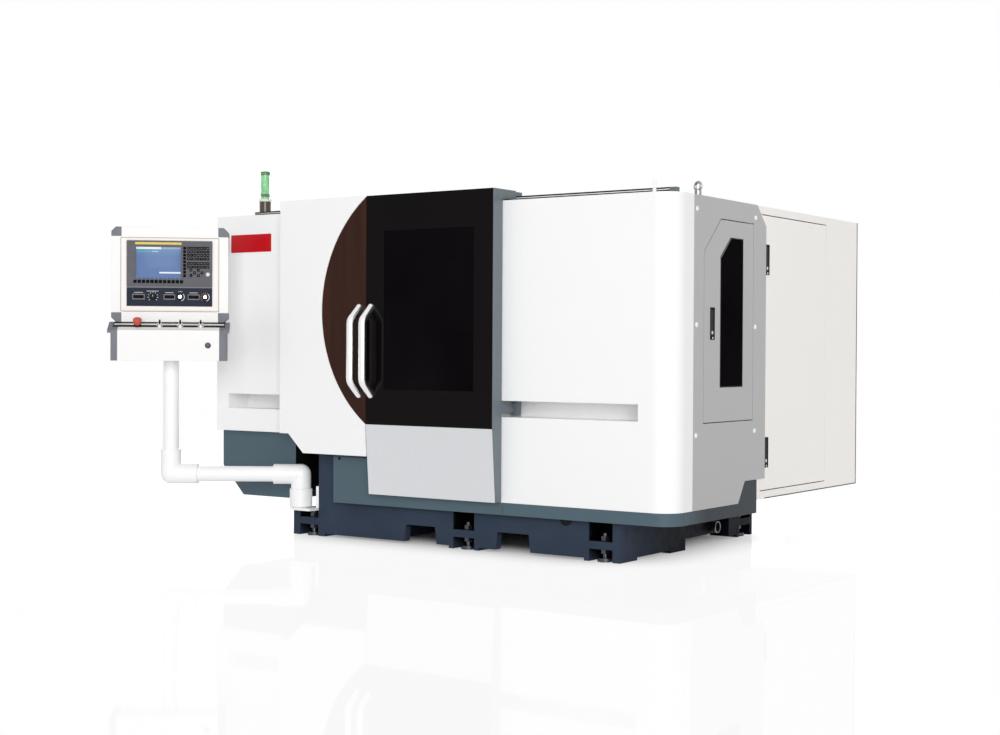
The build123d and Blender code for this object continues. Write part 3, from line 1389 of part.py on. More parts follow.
def pendant_box():
    """The lower console and the upper head, both hollow."""
    console = side_prism(console_profile(), -CONSOLE_HALF_W, CONSOLE_HALF_W)
    console -= side_prism(
        inset(console_profile(), SHEET), SHEET - CONSOLE_HALF_W, CONSOLE_HALF_W - SHEET
    )
    console = PENDANT_PLACE * Pos(CONSOLE_SHIFT, 0, 0) * console
    for hole in console_stems():
        console -= CONSOLE_PLACE * hole
    inner = HEAD_HALF_W - CORNER_W
    head = block(-inner, inner, HEAD_FRONT, CONSOLE_REAR, HEAD_BOTTOM, HEAD_TOP)
    head += block(
        -HEAD_HALF_W,
        HEAD_HALF_W,
        HEAD_FRONT,
        CONSOLE_REAR,
        HEAD_BOTTOM + CORNER_H,
        HEAD_TOP - CORNER_H,
    )
    head -= block(
        SHEET - inner,
        inner - SHEET,
        HEAD_FRONT + SHEET,
        CONSOLE_REAR - SHEET,
        HEAD_BOTTOM + SHEET,
        HEAD_TOP - SHEET,
    )
    head = Pos(HEAD_SHIFT, 0, 0) * head
    for u in KNOB_US:
        head -= rod_y(u, HEAD_FRONT, HEAD_FRONT + SHEET, KNOB_Z, KNOB_STEM_R + RUNNING_CLEAR)
    return [console, PENDANT_PLACE * head]


def pendant_trims():
    """Corner pieces of the head and end caps of the console."""
    inner = HEAD_HALF_W - CORNER_W
    pieces = []
    for side in (-1, 1):
        for z, up in ((HEAD_TOP, 1), (HEAD_BOTTOM, -1)):
            corner = outline(
                (side * inner, z),
                (side * inner, z - up * CORNER_H),
                (side * HEAD_HALF_W, z - up * CORNER_H),
                (side * HEAD_HALF_W, z - up * CORNER_CUT),
                (side * (HEAD_HALF_W - CORNER_CUT), z),
            )
            pieces.append(Pos(HEAD_SHIFT, 0, 0) * front_prism(corner, HEAD_FRONT, CONSOLE_REAR))
        x0, x1 = sorted((side * CONSOLE_HALF_W, side * (CONSOLE_HALF_W + CONSOLE_CAP_W)))
        cap = side_prism(console_profile(), x0, x1)
        lip_out = side * (CONSOLE_HALF_W + CONSOLE_CAP_W + CONSOLE_CAP_LIP)
        lip = outline(
            (CONSOLE_FRONT, CONSOLE_FRONT_TOP - CONSOLE_LIP_T),
            (HEAD_FRONT, HEAD_BOTTOM - CONSOLE_LIP_T),
            (HEAD_FRONT, HEAD_BOTTOM),
            (CONSOLE_FRONT, CONSOLE_FRONT_TOP),
        )
        cap += side_prism(lip, *sorted((side * CONSOLE_HALF_W, lip_out)))
        pieces.append(Pos(CONSOLE_SHIFT, 0, 0) * cap)
    return [PENDANT_PLACE * piece for piece in pieces]


def screen_window():
    return block(
        SCREEN_LEFT, SCREEN_RIGHT, HEAD_FRONT - UNIT_T, HEAD_FRONT, SCREEN_BOTTOM, SCREEN_TOP
    )


def unit_plate():
    face = HEAD_FRONT - UNIT_T
    plate = block(UNIT_LEFT, UNIT_RIGHT, face, HEAD_FRONT, UNIT_BOTTOM, UNIT_TOP)
    return PENDANT_PLACE * (plate - screen_window())


def screen():
    face = HEAD_FRONT - SCREEN_T
    return PENDANT_PLACE * block(
        SCREEN_LEFT, SCREEN_RIGHT, face, HEAD_FRONT, SCREEN_BOTTOM, SCREEN_TOP
    )


def key_places():
    screen_middle = (SCREEN_LEFT + SCREEN_RIGHT) / 2
    first = screen_middle - SOFT_KEY_PITCH * (SOFT_KEY_COUNT - 1) / 2
    places = [(first + i * SOFT_KEY_PITCH, SOFT_KEY_Z) for i in range(SOFT_KEY_COUNT)]
    places += [(MENU_KEY_U, PAD_TOP - i * MENU_KEY_PITCH) for i in range(MENU_KEY_COUNT)]
    z = PAD_TOP
    for rows in (PAD_UPPER_ROWS, PAD_LOWER_ROWS):
        for _ in range(rows):
            places += [(PAD_LEFT + i * PAD_PITCH_U, z) for i in range(PAD_COLUMNS)]
            z -= PAD_PITCH_Z
        z -= PAD_GROUP_GAP
    for pair in range(2):
        u = ARROW_LEFT + 2 * pair * ARROW_PITCH
        places += [(u, ARROW_Z + KEY_SIZE), (u, ARROW_Z - KEY_SIZE), (u + ARROW_PITCH, ARROW_Z)]
    return places


def key_pad():
    """The raised keys on the control unit's face."""
    face = HEAD_FRONT - UNIT_T
    half = KEY_SIZE / 2
    return [
        PENDANT_PLACE * block(u - half, u + half, face - KEY_T, face, z - half, z + half)
        for u, z in key_places()
    ]


def operator_panel():
    face = HEAD_FRONT - PANEL_T
    panel = block(UNIT_LEFT, UNIT_RIGHT, face, HEAD_FRONT, PANEL_BOTTOM, PANEL_TOP)
    for u in KNOB_US:
        panel -= rod_y(u, face, HEAD_FRONT, KNOB_Z, KNOB_STEM_R + RUNNING_CLEAR)
    return PENDANT_PLACE * panel


def rotary_knob(u):
    """A round knob with a pointer ridge, on a stem through the operator panel."""
    back = HEAD_FRONT - PANEL_T - KNOB_LIFT
    front = back - KNOB_H
    knob = rod_y(u, front, back, KNOB_Z, KNOB_R)
    ridge = KNOB_STEM_R / 2
    low, high = KNOB_Z - KNOB_R / 2, KNOB_Z + KNOB_R / 2
    knob += block(u - ridge, u + ridge, front - KNOB_STEM_R, front, low, high)
    return PENDANT_PLACE * (knob + rod_y(u, back, HEAD_FRONT + SHEET, KNOB_Z, KNOB_STEM_R))


def selector(u):
    """A selector switch with a bar grip, standing on the sloping console."""
    body = rod_z(u, 0, KNOB_LIFT, SELECTOR_H, SELECTOR_R)
    half = SELECTOR_GRIP_W / 2
    grip = block(
        u - half, u + half, -SELECTOR_R + half, SELECTOR_R - half,
        SELECTOR_H, SELECTOR_H + SELECTOR_GRIP_H,
    )
    return CONSOLE_PLACE * (body + grip + rod_z(u, 0, -STEM_LENGTH, KNOB_LIFT, SELECTOR_STEM_R))


def emergency_stop():
    stand = ESTOP_STAND + ESTOP_TRAVEL
    stem = rod_z(ESTOP_U, 0, -STEM_LENGTH, stand, ESTOP_STEM_R)
    head = rod_z(ESTOP_U, 0, stand, stand + ESTOP_HEAD_H, ESTOP_R)
    rim = head.edges().filter_by(GeomType.CIRCLE).sort_by(Axis.Z)[-1]
    head = fillet(rim, ESTOP_HEAD_H / 3)
    return CONSOLE_PLACE * (stem + head)


def lamp_base():
    flange_top = COVER_TOP + LAMP_FLANGE_T
    flange = rod_z(LAMP_X, LAMP_Y, COVER_TOP, flange_top, LAMP_FLANGE_R)
    return flange + rod_z(LAMP_X, LAMP_Y, flange_top, LAMP_BASE_TOP, LAMP_R)


def lamp_lens():
    lens = rod_z(LAMP_X, LAMP_Y, LAMP_BASE_TOP, LAMP_TOP, LAMP_R - SEAM)
    rim = lens.edges().filter_by(GeomType.CIRCLE).sort_by(Axis.Z)[-1]
    lens = fillet(rim, LAMP_R / 4)
    return lens - rod_z(LAMP_X, LAMP_Y, LAMP_BASE_TOP, LAMP_TOP - LENS_WALL, LAMP_R - SEAM - LENS_WALL)


def eye_bolt():
    collar_top = COVER_TOP + EYE_COLLAR_H
    ring_place = Pos(EYE_X, EYE_Y, collar_top + EYE_R) * Rot(0, 0, -EYE_TURN) * Rot(90, 0, 0)
    ring = ring_place * Torus(EYE_R, EYE_WIRE_R)
    return ring + rod_z(EYE_X, EYE_Y, COVER_TOP, collar_top, EYE_COLLAR_R)


def all_nodes():
    """Every node's name and its solid or list of solids, before the move to the origin."""
    handle_left = DOOR_MEET - LEFT_HANDLE_INSET
    handle_right = DOOR_MEET + RIGHT_HANDLE_INSET
    side_latch = side_latch_place()
    low_latch, high_latch = cabinet_latch_places()
    return {
        "bed": bed(),
        "levelling_feet": levelling_feet(),
        "lower_skirts": [splash_pan(), left_skirt()],
        "left_cover": left_cover(),
        "right_cover": right_cover(),
        "right_side_panel": right_side_panel(),
        "roof_panel": roof_panel(),
        "rear_cover": rear_cover(),
        "door_rails": door_rails(),
        "eye_bolt": eye_bolt(),
        "cabinet_shell": cabinet_shell(),
        "cabinet_drives": cabinet_drives(),
        "door_hinges": door_hinges(),
        "arm_bracket": arm_bracket(),
        "lamp_base": lamp_base(),
        "lamp_lens": lamp_lens(),
        "guideways": guideways(),
        "axis_servos": axis_servos(),
        "left_door_panel": left_door_panel(),
        "left_door_inlay": left_door_inlay(),
        "left_door_handle": handle(handle_left, DOOR_FACE + SHEET),
        "left_door_carrier": left_door_carrier(),
        "right_door_panel": right_door_panel(),
        "right_door_window": right_door_window(),
        "kick_plate": kick_plate(),
        "right_door_handle": handle(handle_right, DOOR_FACE),
        "right_door_carrier": right_door_carrier(),
        "side_door": side_door(),
        "side_window": side_window(),
        "side_latch_body": latch_body(*side_latch),
        "side_latch_lever": latch_lever(*side_latch),
        "cabinet_door": cabinet_door(),
        "cabinet_latch_bodies": [latch_body(*low_latch), latch_body(*high_latch)],
        "lower_latch_lever": latch_lever(*low_latch),
        "upper_latch_lever": latch_lever(*high_latch),
        "swing_arm": swing_arm(),
        "pendant_box": pendant_box(),
        "pendant_trims": pendant_trims(),
        "unit_plate": unit_plate(),
        "screen": screen(),
        "key_pad": key_pad(),
        "operator_panel": operator_panel(),
        "mode_knob": rotary_knob(KNOB_US[0]),
        "speed_knob": rotary_knob(KNOB_US[1]),
        "feed_knob": rotary_knob(KNOB_US[2]),
        "emergency_stop": emergency_stop(),
        "left_selector": selector(SELECTOR_US[0]),
        "middle_selector": selector(SELECTOR_US[1]),
        "right_selector": selector(SELECTOR_US[2]),
        "work_table": work_table(),
        "workhead": workhead(),
        "work_spindle": work_spindle(),
        "tailstock": tailstock(),
        "quill": quill(),
        "wheelhead": wheelhead(),
        "wheel_guard": wheel_guard(),
        "grinding_wheel": grinding_wheel(),
        "wheel_motor": wheel_motor(),
        "table_screw": table_screw(),
        "infeed_screw": infeed_screw(),
    }


def solids_of(shape):
    pieces = shape if isinstance(shape, list) else [shape]
    return [solid for piece in pieces for solid in piece.solids()]


def origin_shift(nodes):
    """The move that brings the middle of the machine's footprint to the origin."""
    box = Compound([solid for solids in nodes.values() for solid in solids]).bounding_box()
    return Pos(-box.center().X, -box.center().Y, -box.min.Z)


NODES = {name: solids_of(shape) for name, shape in all_nodes().items()}
SHIFT = origin_shift(NODES)

os.makedirs("parts", exist_ok=True)
for name, solids in NODES.items():
    placed = [SHIFT * solid for solid in solids]
    export_step(placed[0] if len(placed) == 1 else Compound(placed), f"parts/{name}.step")
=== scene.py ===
import json
import math

import bmesh
import bpy
from mathutils import Matrix, Vector


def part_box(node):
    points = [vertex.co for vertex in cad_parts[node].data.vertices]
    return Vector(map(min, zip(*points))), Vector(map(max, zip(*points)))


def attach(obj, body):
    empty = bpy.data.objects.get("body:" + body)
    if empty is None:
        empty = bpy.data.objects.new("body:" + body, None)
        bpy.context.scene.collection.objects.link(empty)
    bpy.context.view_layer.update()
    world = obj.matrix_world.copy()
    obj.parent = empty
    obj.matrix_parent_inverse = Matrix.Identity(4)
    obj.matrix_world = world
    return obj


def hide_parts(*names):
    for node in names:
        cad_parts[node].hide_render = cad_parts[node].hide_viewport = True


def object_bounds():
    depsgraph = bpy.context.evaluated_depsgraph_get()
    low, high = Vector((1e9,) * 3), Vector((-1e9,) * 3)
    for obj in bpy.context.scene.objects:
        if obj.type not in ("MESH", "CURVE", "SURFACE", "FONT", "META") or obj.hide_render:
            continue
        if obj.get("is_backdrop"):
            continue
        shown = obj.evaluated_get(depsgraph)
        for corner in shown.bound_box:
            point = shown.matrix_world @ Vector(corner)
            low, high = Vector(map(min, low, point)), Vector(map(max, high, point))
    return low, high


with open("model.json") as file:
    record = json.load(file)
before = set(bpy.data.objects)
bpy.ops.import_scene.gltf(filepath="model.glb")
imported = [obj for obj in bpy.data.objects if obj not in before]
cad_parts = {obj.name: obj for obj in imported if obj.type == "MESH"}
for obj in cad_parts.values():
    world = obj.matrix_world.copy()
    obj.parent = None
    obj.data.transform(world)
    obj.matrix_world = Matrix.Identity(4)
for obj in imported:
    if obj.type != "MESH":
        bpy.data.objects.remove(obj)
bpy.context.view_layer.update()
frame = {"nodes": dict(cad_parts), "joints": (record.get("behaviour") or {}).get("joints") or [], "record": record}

JOINTS = {joint["name"]: joint for joint in frame["joints"]}
UP = Vector((0, 0, 1))
MILLIMETRE = 0.001
MM = Matrix.Scale(MILLIMETRE, 4)
SHARP = math.radians(32)
MERGE_DISTANCE = 1e-5

# Local frames, in millimetres. MACHINE has X = 0 on the right side panel, Y = 0 on the front covers and
# Z = 0 at COVER_TOP under the covers' top edge. PENDANT has U to the right, V to the back and Z up from
# the same level, on the riser's axis. CONSOLE lies on the console's slope, with U to the right, S up the
# slope and W out of it.
COVER_TOP = 1550.0
cover_low, cover_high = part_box("right_cover")
level_z = cover_high.z - COVER_TOP * MILLIMETRE
MACHINE = Matrix.Translation((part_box("right_side_panel")[1].x, cover_low.y, level_z)) @ MM


def axes_place(origin, x_axis, z_axis):
    """A frame at origin with the given X and Z axes, in millimetres."""
    y_axis = z_axis.cross(x_axis)
    turn = Matrix((x_axis, y_axis, z_axis)).transposed().to_4x4()
    return Matrix.Translation(origin) @ turn @ MM


swivel = Vector(JOINTS["pendant_swivel"]["pos_m"])
pendant_right = UP.cross(Vector(JOINTS["mode_turn"]["axis"]))
PENDANT = axes_place(Vector((swivel.x, swivel.y, level_z)), pendant_right, UP)
switch = Vector(JOINTS["middle_switch_turn"]["pos_m"])
console_origin = switch - pendant_right * (switch - swivel).dot(pendant_right)
CONSOLE = axes_place(console_origin, pendant_right, Vector(JOINTS["middle_switch_turn"]["axis"]))


def local_points(node, place):
    """A node's corners in a local frame."""
    inverse = place.inverted()
    return [inverse @ vertex.co for vertex in frame["nodes"][node].data.vertices]


def local_box(node, place):
    """Lowest and highest corner of a node in a local frame."""
    points = local_points(node, place)
    low = Vector(min(p[i] for p in points) for i in range(3))
    return low, Vector(max(p[i] for p in points) for i in range(3))


def srgb(red, green, blue):
    """A colour given as it shows on a screen, 0 to 255, as the linear colour that shaders take."""
    def linear(value):
        share = value / 255
        return share / 12.92 if share <= 0.04045 else ((share + 0.055) / 1.055) ** 2.4
    return linear(red), linear(green), linear(blue), 1.0


def scaled(colour, factor):
    return tuple(min(1.0, c * factor) for c in colour[:3]) + (1.0,)


def fill(tree, socket, value):
    """A link or a constant for a node's input."""
    if isinstance(value, bpy.types.NodeSocket):
        tree.links.new(value, socket)
    else:
        socket.default_value = value


def add_node(tree, kind, *values, operation=None, **named):
    """A new node. Its inputs are links or constants, in their order or by name with _ for a blank."""
    node = tree.nodes.new(kind)
    if operation:
        node.operation = operation
    for socket, value in zip(node.inputs, values):
        fill(tree, socket, value)
    for name, value in named.items():
        fill(tree, node.inputs[name.replace("_", " ")], value)
    return node


def calculate(tree, operation, a, b):
    return add_node(tree, "ShaderNodeMath", a, b, operation=operation).outputs["Value"]


DUST = srgb(112, 116, 124)
DUST_TOP = 0.3
# Colour of the painted shade in hollows
HOLLOW_SHADE = srgb(5, 5, 6)
SOIL_Z = (0.14, 0.2)
COAT_ROUGHNESS = 0.08
HOLLOW_SAMPLES = 8
EDGE_SAMPLES = 4


class Finish:
    """A material with its shader, and short ways to lay textures on it."""

    def __init__(self, name, roughness=0.5, metallic=0.0, specular=0.5):
        self.name = name
        self.material = bpy.data.materials.new(name)
        self.material.use_nodes = True
        self.tree = self.material.node_tree
        self.shader = self.tree.nodes["Principled BSDF"]
        self.feed("Roughness", roughness)
        self.feed("Metallic", metallic)
        self.feed("Specular IOR Level", specular)
        self.coords = self.node("ShaderNodeTexCoord")
        self.place = self.coords.outputs["Object"]

    def node(self, kind, **named):
        return add_node(self.tree, kind, **named)

    def feed(self, socket, value):
        """A link or a constant for one of the shader's own inputs."""
        fill(self.tree, self.shader.inputs[socket], value)

    def noise(self, scale, detail=3.0, stretch=None):
        place = self.place
        if stretch:
            place = self.node("ShaderNodeMapping", Scale=stretch, Vector=place).outputs["Vector"]
        return self.node("ShaderNodeTexNoise", Scale=scale, Detail=detail, Vector=place).outputs["Fac"]

    def ramp(self, factor, *stops):
        node = self.node("ShaderNodeValToRGB", Fac=factor)
        elements = node.color_ramp.elements
        while len(elements) < len(stops):
            elements.new(0.5)
        for element, (position, colour) in zip(elements, stops):
            element.position = position
            element.color = colour
        return node.outputs["Color"]

    def clouds(self, factor, colour, vary, low=0.3, high=0.7):
        """The colour, darker by the share vary where factor is low and lighter where it is high."""
        return self.ramp(factor, (low, scaled(colour, 1 - vary)), (high, scaled(colour, 1 + vary)))

    def span(self, factor, low, high, from_low=0.3, from_high=0.7):
        """low to high, where factor goes from from_low to from_high."""
        node = self.node("ShaderNodeMapRange", Value=factor, From_Min=from_low, From_Max=from_high,
                         To_Min=low, To_Max=high)
        return node.outputs["Result"]

    def math(self, operation, a, b):
        return calculate(self.tree, operation, a, b)

    def mix(self, factor, a, b):
        """Colour a where factor is 0 and b where it is 1."""
        node = self.node("ShaderNodeMix")
        node.data_type = "RGBA"
        fill(self.tree, node.inputs["Factor"], factor)
        sockets = [s for s in node.inputs if s.type == "RGBA"]
        for socket, value in zip(sockets, (a, b)):
            fill(self.tree, socket, value)
        return [s for s in node.outputs if s.type == "RGBA"][0]

    def axis(self, name):
        return self.node("ShaderNodeSeparateXYZ", Vector=self.place).outputs[name]

    def painted_rear_shade(self, tone, shade):
        """Painted shade: the tone turning into the shade colour from start to end, in millimetres behind the front
        covers.
        shade is (colour, start, end)."""
        colour, start, end = shade
        places = (cover_low.y + place * MILLIMETRE for place in (start, end))
        return self.mix(self.span(self.axis("Y"), 0.0, 1.0, *places), tone, colour)

    def openness(self, reach):
        """1 on open faces and less in hollows of about the given reach, in metres: the mask for painted shade in
        hollows.
        """
        node = self.node("ShaderNodeAmbientOcclusion", Distance=reach)
        node.only_local = True
        node.samples = HOLLOW_SAMPLES
        return node.outputs["AO"]

    def bump(self, height, depth, strength=1.0, edge=0.0):
        """Bump of the given depth in metres, over edges that look rounded by edge metres."""
        node = self.node("ShaderNodeBump", Distance=depth, Strength=strength, Height=height)
        if edge:
            bevel = self.node("ShaderNodeBevel", Radius=edge)
            bevel.samples = EDGE_SAMPLES
            fill(self.tree, node.inputs["Normal"], bevel.outputs["Normal"])
        self.feed("Normal", node.outputs["Normal"])


def paint(name, colour, roughness=0.34, vary=0.02, coat=0.0, peel=0.00003, edge=0.0012, specular=0.5,
          shade=None):
    """Powder coat or enamel: faint clouds of tone, uneven gloss and orange peel, and painted shade towards the
    back where shade is given.
    """
    finish = Finish(name, roughness, specular=specular)
    tone = finish.clouds(finish.noise(0.8, detail=1), colour, vary)
    finish.feed("Base Color", finish.painted_rear_shade(tone, shade) if shade else tone)
    finish.feed("Roughness", finish.span(finish.noise(1.2, detail=1), roughness * 0.94, roughness * 1.06))
    finish.feed("Coat Weight", coat)
    finish.feed("Coat Roughness", COAT_ROUGHNESS)
    finish.bump(finish.noise(160, detail=1), peel, strength=0.5, edge=edge)
    return finish


def moulded(name, colour, roughness=0.5, vary=0.05, grain=1400, specular=0.15):
    """Moulded plastic with a fine grain."""
    finish = Finish(name, roughness, specular=specular)
    finish.feed("Base Color", finish.clouds(finish.noise(14, detail=4), colour, vary))
    finish.feed("Roughness", finish.span(finish.noise(60, detail=2), roughness * 0.85, roughness * 1.15))
    finish.bump(finish.noise(grain, detail=2), 0.00008, strength=0.7, edge=0.0008)
    return finish


def metal(name, colour, roughness, stretch, streak=0.06, scale=60, edge=0.0006, soiled=None):
    """Worked metal with streaks along one direction, given by how much each axis is stretched.
    soiled is the colour it takes near the floor."""
    finish = Finish(name, roughness, metallic=1.0)
    lines = finish.noise(scale, detail=6, stretch=stretch)
    tone = finish.clouds(lines, colour, streak, 0.25, 0.75)
    if soiled:
        tone = finish.mix(finish.span(finish.axis("Z"), 1.0, 0.0, *SOIL_Z), tone, soiled)
    finish.feed("Base Color", tone)
    finish.feed("Roughness", finish.span(lines, roughness * 0.8, roughness * 1.25))
    finish.bump(lines, 0.00003, strength=0.5, edge=edge)
    return finish


def cast_enamel(name, colour, roughness=0.42, specular=0.3, dusty=0.1, hollow=0.0, shade=None):
    """Thick enamel on rough cast iron, dustier and duller towards the floor, turned black by painted shade in
    hollows of about the given reach in metres, and darkened by painted shade towards the back where shade is
    given."""
    finish = Finish(name, roughness, specular=specular)
    patches = finish.ramp(
        finish.noise(5, detail=4), (0.3, scaled(colour, 0.9)), (0.72, scaled(colour, 1.12))
    )
    dust_height = finish.span(finish.axis("Z"), dusty, 0.0, 0.0, DUST_TOP)
    dust = finish.math("MULTIPLY", dust_height, finish.span(finish.noise(16, detail=5), 0.2, 1.0))
    tone = finish.mix(dust, patches, DUST)
    # Painted shade towards the back, where shade is given
    if shade:
        tone = finish.painted_rear_shade(tone, shade)
    # Painted shade: the tone turns black in hollows, by how open each face is
    if hollow:
        tone = finish.mix(finish.span(finish.openness(hollow), 0.0, 1.0, 0.35, 0.8), HOLLOW_SHADE, tone)
    finish.feed("Base Color", tone)
    finish.feed("Roughness", finish.span(finish.noise(24, detail=4), roughness * 0.8, roughness * 1.3))
    finish.bump(finish.noise(95, detail=5), 0.0007, strength=0.5, edge=0.004)
    return finish


def dark_glass(name, colour):
    finish = Finish(name, 0.05, specular=0.0)
    finish.feed("Base Color", finish.clouds(finish.noise(2.2, detail=3), colour, 0.3))
    finish.feed("Roughness", finish.span(finish.noise(6, detail=4), 0.03, 0.08))
    finish.bump(finish.noise(3, detail=1), 0.0006, strength=0.05)
    return finish


def brown_panel(name):
    """Gloss dark brown sheet, a little redder in upright streaks."""
    finish = Finish(name, 0.16, specular=0.06)
    streaks = finish.noise(7, detail=4, stretch=(3.0, 1.0, 0.22))
    finish.feed("Base Color", finish.ramp(
        streaks, (0.3, srgb(50, 30, 23)), (0.55, srgb(57, 34, 27)), (0.75, srgb(65, 38, 29))
    ))
    finish.feed("Roughness", finish.span(finish.noise(40, detail=3), 0.12, 0.22))
    finish.bump(finish.noise(300, detail=2), 0.00005, strength=0.4)
    return finish


def clear_green(name):
    """Clear sleeve with a green tint."""
    finish = Finish(name, 0.06, specular=0.5)
    finish.feed("Base Color", finish.ramp(
        finish.noise(30, detail=2), (0.3, srgb(236, 248, 238)), (0.7, srgb(245, 253, 246))
    ))
    finish.feed("Transmission Weight", 0.96)
    finish.feed("IOR", 1.12)
    finish.bump(finish.noise(60, detail=2), 0.0002, strength=0.3)
    return finish


def abrasive(name):
    """Bonded grit: speckles of several greys and a rough face."""
    finish = Finish(name, 0.85, specular=0.3)
    grit = finish.noise(900, detail=3)
    finish.feed("Base Color", finish.ramp(
        grit, (0.32, srgb(120, 118, 114)), (0.5, srgb(186, 182, 174)), (0.68, srgb(226, 222, 214))
    ))
    finish.bump(grit, 0.0008, strength=0.8)
    return finish


def lit(name, colour, strength, vary=0.08, specular=0.5):
    """A lit or fluorescent surface."""
    finish = Finish(name, 0.3, specular=specular)
    tone = finish.clouds(finish.noise(40, detail=2), colour, vary)
    finish.feed("Base Color", tone)
    finish.feed("Emission Color", tone)
    finish.feed("Emission Strength", strength)
    return finish


def by_name(*finishes):
    return {finish.name: finish for finish in finishes}


# Looks of the record's material slots, and of small pieces that look like none of them
finishes = by_name(
    paint("cover_white", srgb(250, 250, 250), 0.3, 0.006),
    paint("side_grey", srgb(182, 181, 181), 0.36, 0.012),
    paint("cabinet_white", srgb(253, 250, 246), 0.38, 0.006),
    # skirt_teal and bed_navy get painted shade that darkens their faces towards the back
    paint("skirt_teal", srgb(81, 100, 110), 0.36, 0.04, coat=0.1, specular=0.1,
          shade=(srgb(47, 54, 60), 70.0, 300.0)),
    # bed_navy also gets painted shade, black, in its hollows
    cast_enamel("bed_navy", srgb(54, 64, 80), specular=0.05, dusty=0.01, hollow=0.3,
                shade=(srgb(14, 18, 27), 60.0, 520.0)),
    paint("door_black", srgb(15, 12, 12), 0.14, 0.2, peel=0.00004, specular=0.05),
    dark_glass("dark_glass", srgb(16, 14, 17)),
    brown_panel("inlay_brown"),
    metal("stainless", (0.69, 0.70, 0.72, 1.0), 0.36, (1.0, 1.0, 0.02), 0.025, 160),
    metal("chrome", (0.86, 0.86, 0.87, 1.0), 0.2, (1.0, 1.0, 0.1), 0.03, 90),
    paint("carrier_grey", srgb(99, 110, 116), 0.34, 0.04, coat=0.15),
    moulded("black_plastic", srgb(17, 17, 19), 0.45, 0.15),
    paint("pipe_white", srgb(252, 252, 252), 0.36, 0.004),
    paint("pendant_white", srgb(240, 239, 238), 0.4, 0.006),
    moulded("trim_grey", srgb(124, 126, 133), 0.55),
    moulded("unit_grey", srgb(96, 96, 102), 0.5),
    moulded("panel_navy", srgb(36, 42, 56), 0.42, specular=0.08),
    dark_glass("screen_glass", srgb(70, 90, 130)),
    moulded("stop_red", srgb(212, 92, 72), 0.32),
    clear_green("lens_green"),
    paint("lamp_brown", srgb(56, 40, 20), 0.3, 0.06, coat=0.4),
    metal("machine_steel", (0.52, 0.52, 0.54, 1.0), 0.28, (0.05, 1.0, 1.0)),
    cast_enamel("casting_grey", srgb(150, 156, 160)),
    metal("zinc", (0.66, 0.66, 0.64, 1.0), 0.34, (1.0, 1.0, 1.0), 0.12, 30,
          soiled=(0.08, 0.085, 0.095, 1.0)),
    paint("guard_white", srgb(232, 232, 228), 0.4, 0.03),
    abrasive("abrasive"),
    cast_enamel("motor_black", srgb(44, 46, 50)),
    moulded("drive_grey", srgb(196, 198, 196), 0.5),
)
extras = by_name(
    paint("sign_red", srgb(193, 16, 26), 0.3, 0.03, specular=0.12),
    moulded("strip_yellow", srgb(228, 204, 104), 0.4),
    moulded("key_black", srgb(7, 7, 8), 0.5, 0.2, specular=0.03),
    paint("bezel_cream", srgb(243, 237, 232), 0.42, 0.008),
    metal("lock_dark", (0.045, 0.045, 0.05, 1.0), 0.3, (1.0, 1.0, 1.0), 0.1, 40),
    metal("eye_steel", (0.36, 0.36, 0.37, 1.0), 0.3, (1.0, 1.0, 1.0), 0.15, 30),
    # Dark seams, and painted shade along the cabinet's edges
    moulded("dark_seam_and_edge_shade", srgb(92, 84, 82), 0.7),
    moulded("seam_warm", srgb(168, 156, 150), 0.7),
    moulded("nylon_white", srgb(232, 232, 228), 0.5),
    moulded("label_white", srgb(205, 208, 212), 0.5),
    moulded("tick_orange", srgb(224, 140, 64), 0.5),
    lit("readout", srgb(26, 14, 18), 0.05, 0.4, 0.03),
    lit("lamp_core", srgb(140, 200, 152), 0.06, 0.1),
    moulded("lamp_block", srgb(80, 116, 80), 0.4),
)

looks = {part["node"]: finishes[part["material_slot"]] for part in frame["record"]["subparts"]}
looks |= {"eye_bolt": extras["eye_steel"], "key_pad": extras["key_black"]}
for node, finish in looks.items():
    for slot in frame["nodes"][node].material_slots:
        slot.material = finish.material


def round_edges(bm, edges, width):
    bmesh.ops.bevel(bm, geom=edges, offset=width, segments=2, affect="EDGES", profile=0.5)


def add_block(bm, low, high, bevel):
    """A box between two corners with its edges rounded."""
    low, high = Vector(low), Vector(high)
    verts = bmesh.ops.create_cube(bm, size=1.0)["verts"]
    bmesh.ops.scale(bm, vec=high - low, verts=verts)
    bmesh.ops.translate(bm, vec=(low + high) / 2, verts=verts)
    round_edges(bm, list({edge for vert in verts for edge in vert.link_edges}), bevel)


def closed_profile(profile):
    """The profile with its open start drawn to the axis, or with its end drawn to its start in a ring."""
    first, last = profile[0], profile[-1]
    if first[0] and last[0]:
        return [*profile, first] if first != last else profile
    return [(0, first[1]), *profile] if first[0] else profile


def add_lathe(bm, profile, place, segments, flute=None):
    """A turned shape: profile is (radius, height) from end to end, along the place's Z, and is closed.
    flute is (count, depth, from height, to height) for a grip with scallops."""
    rings = []
    for radius, height in closed_profile(profile):
        if radius == 0:
            rings.append([bm.verts.new(place @ Vector((0, 0, height)))])
            continue
        ring = []
        for i in range(segments):
            angle = math.tau * i / segments
            r = radius
            if flute and flute[2] <= height <= flute[3]:
                r -= flute[1] * (0.5 + 0.5 * math.cos(flute[0] * angle))
            ring.append(bm.verts.new(place @ Vector((r * math.cos(angle), r * math.sin(angle), height))))
        rings.append(ring)
    for a, b in zip(rings, rings[1:]):
        for i in range(segments):
            j = (i + 1) % segments
            quad = [a[i % len(a)], a[j % len(a)], b[j % len(b)], b[i % len(b)]]
            bm.faces.new(list(dict.fromkeys(quad)))


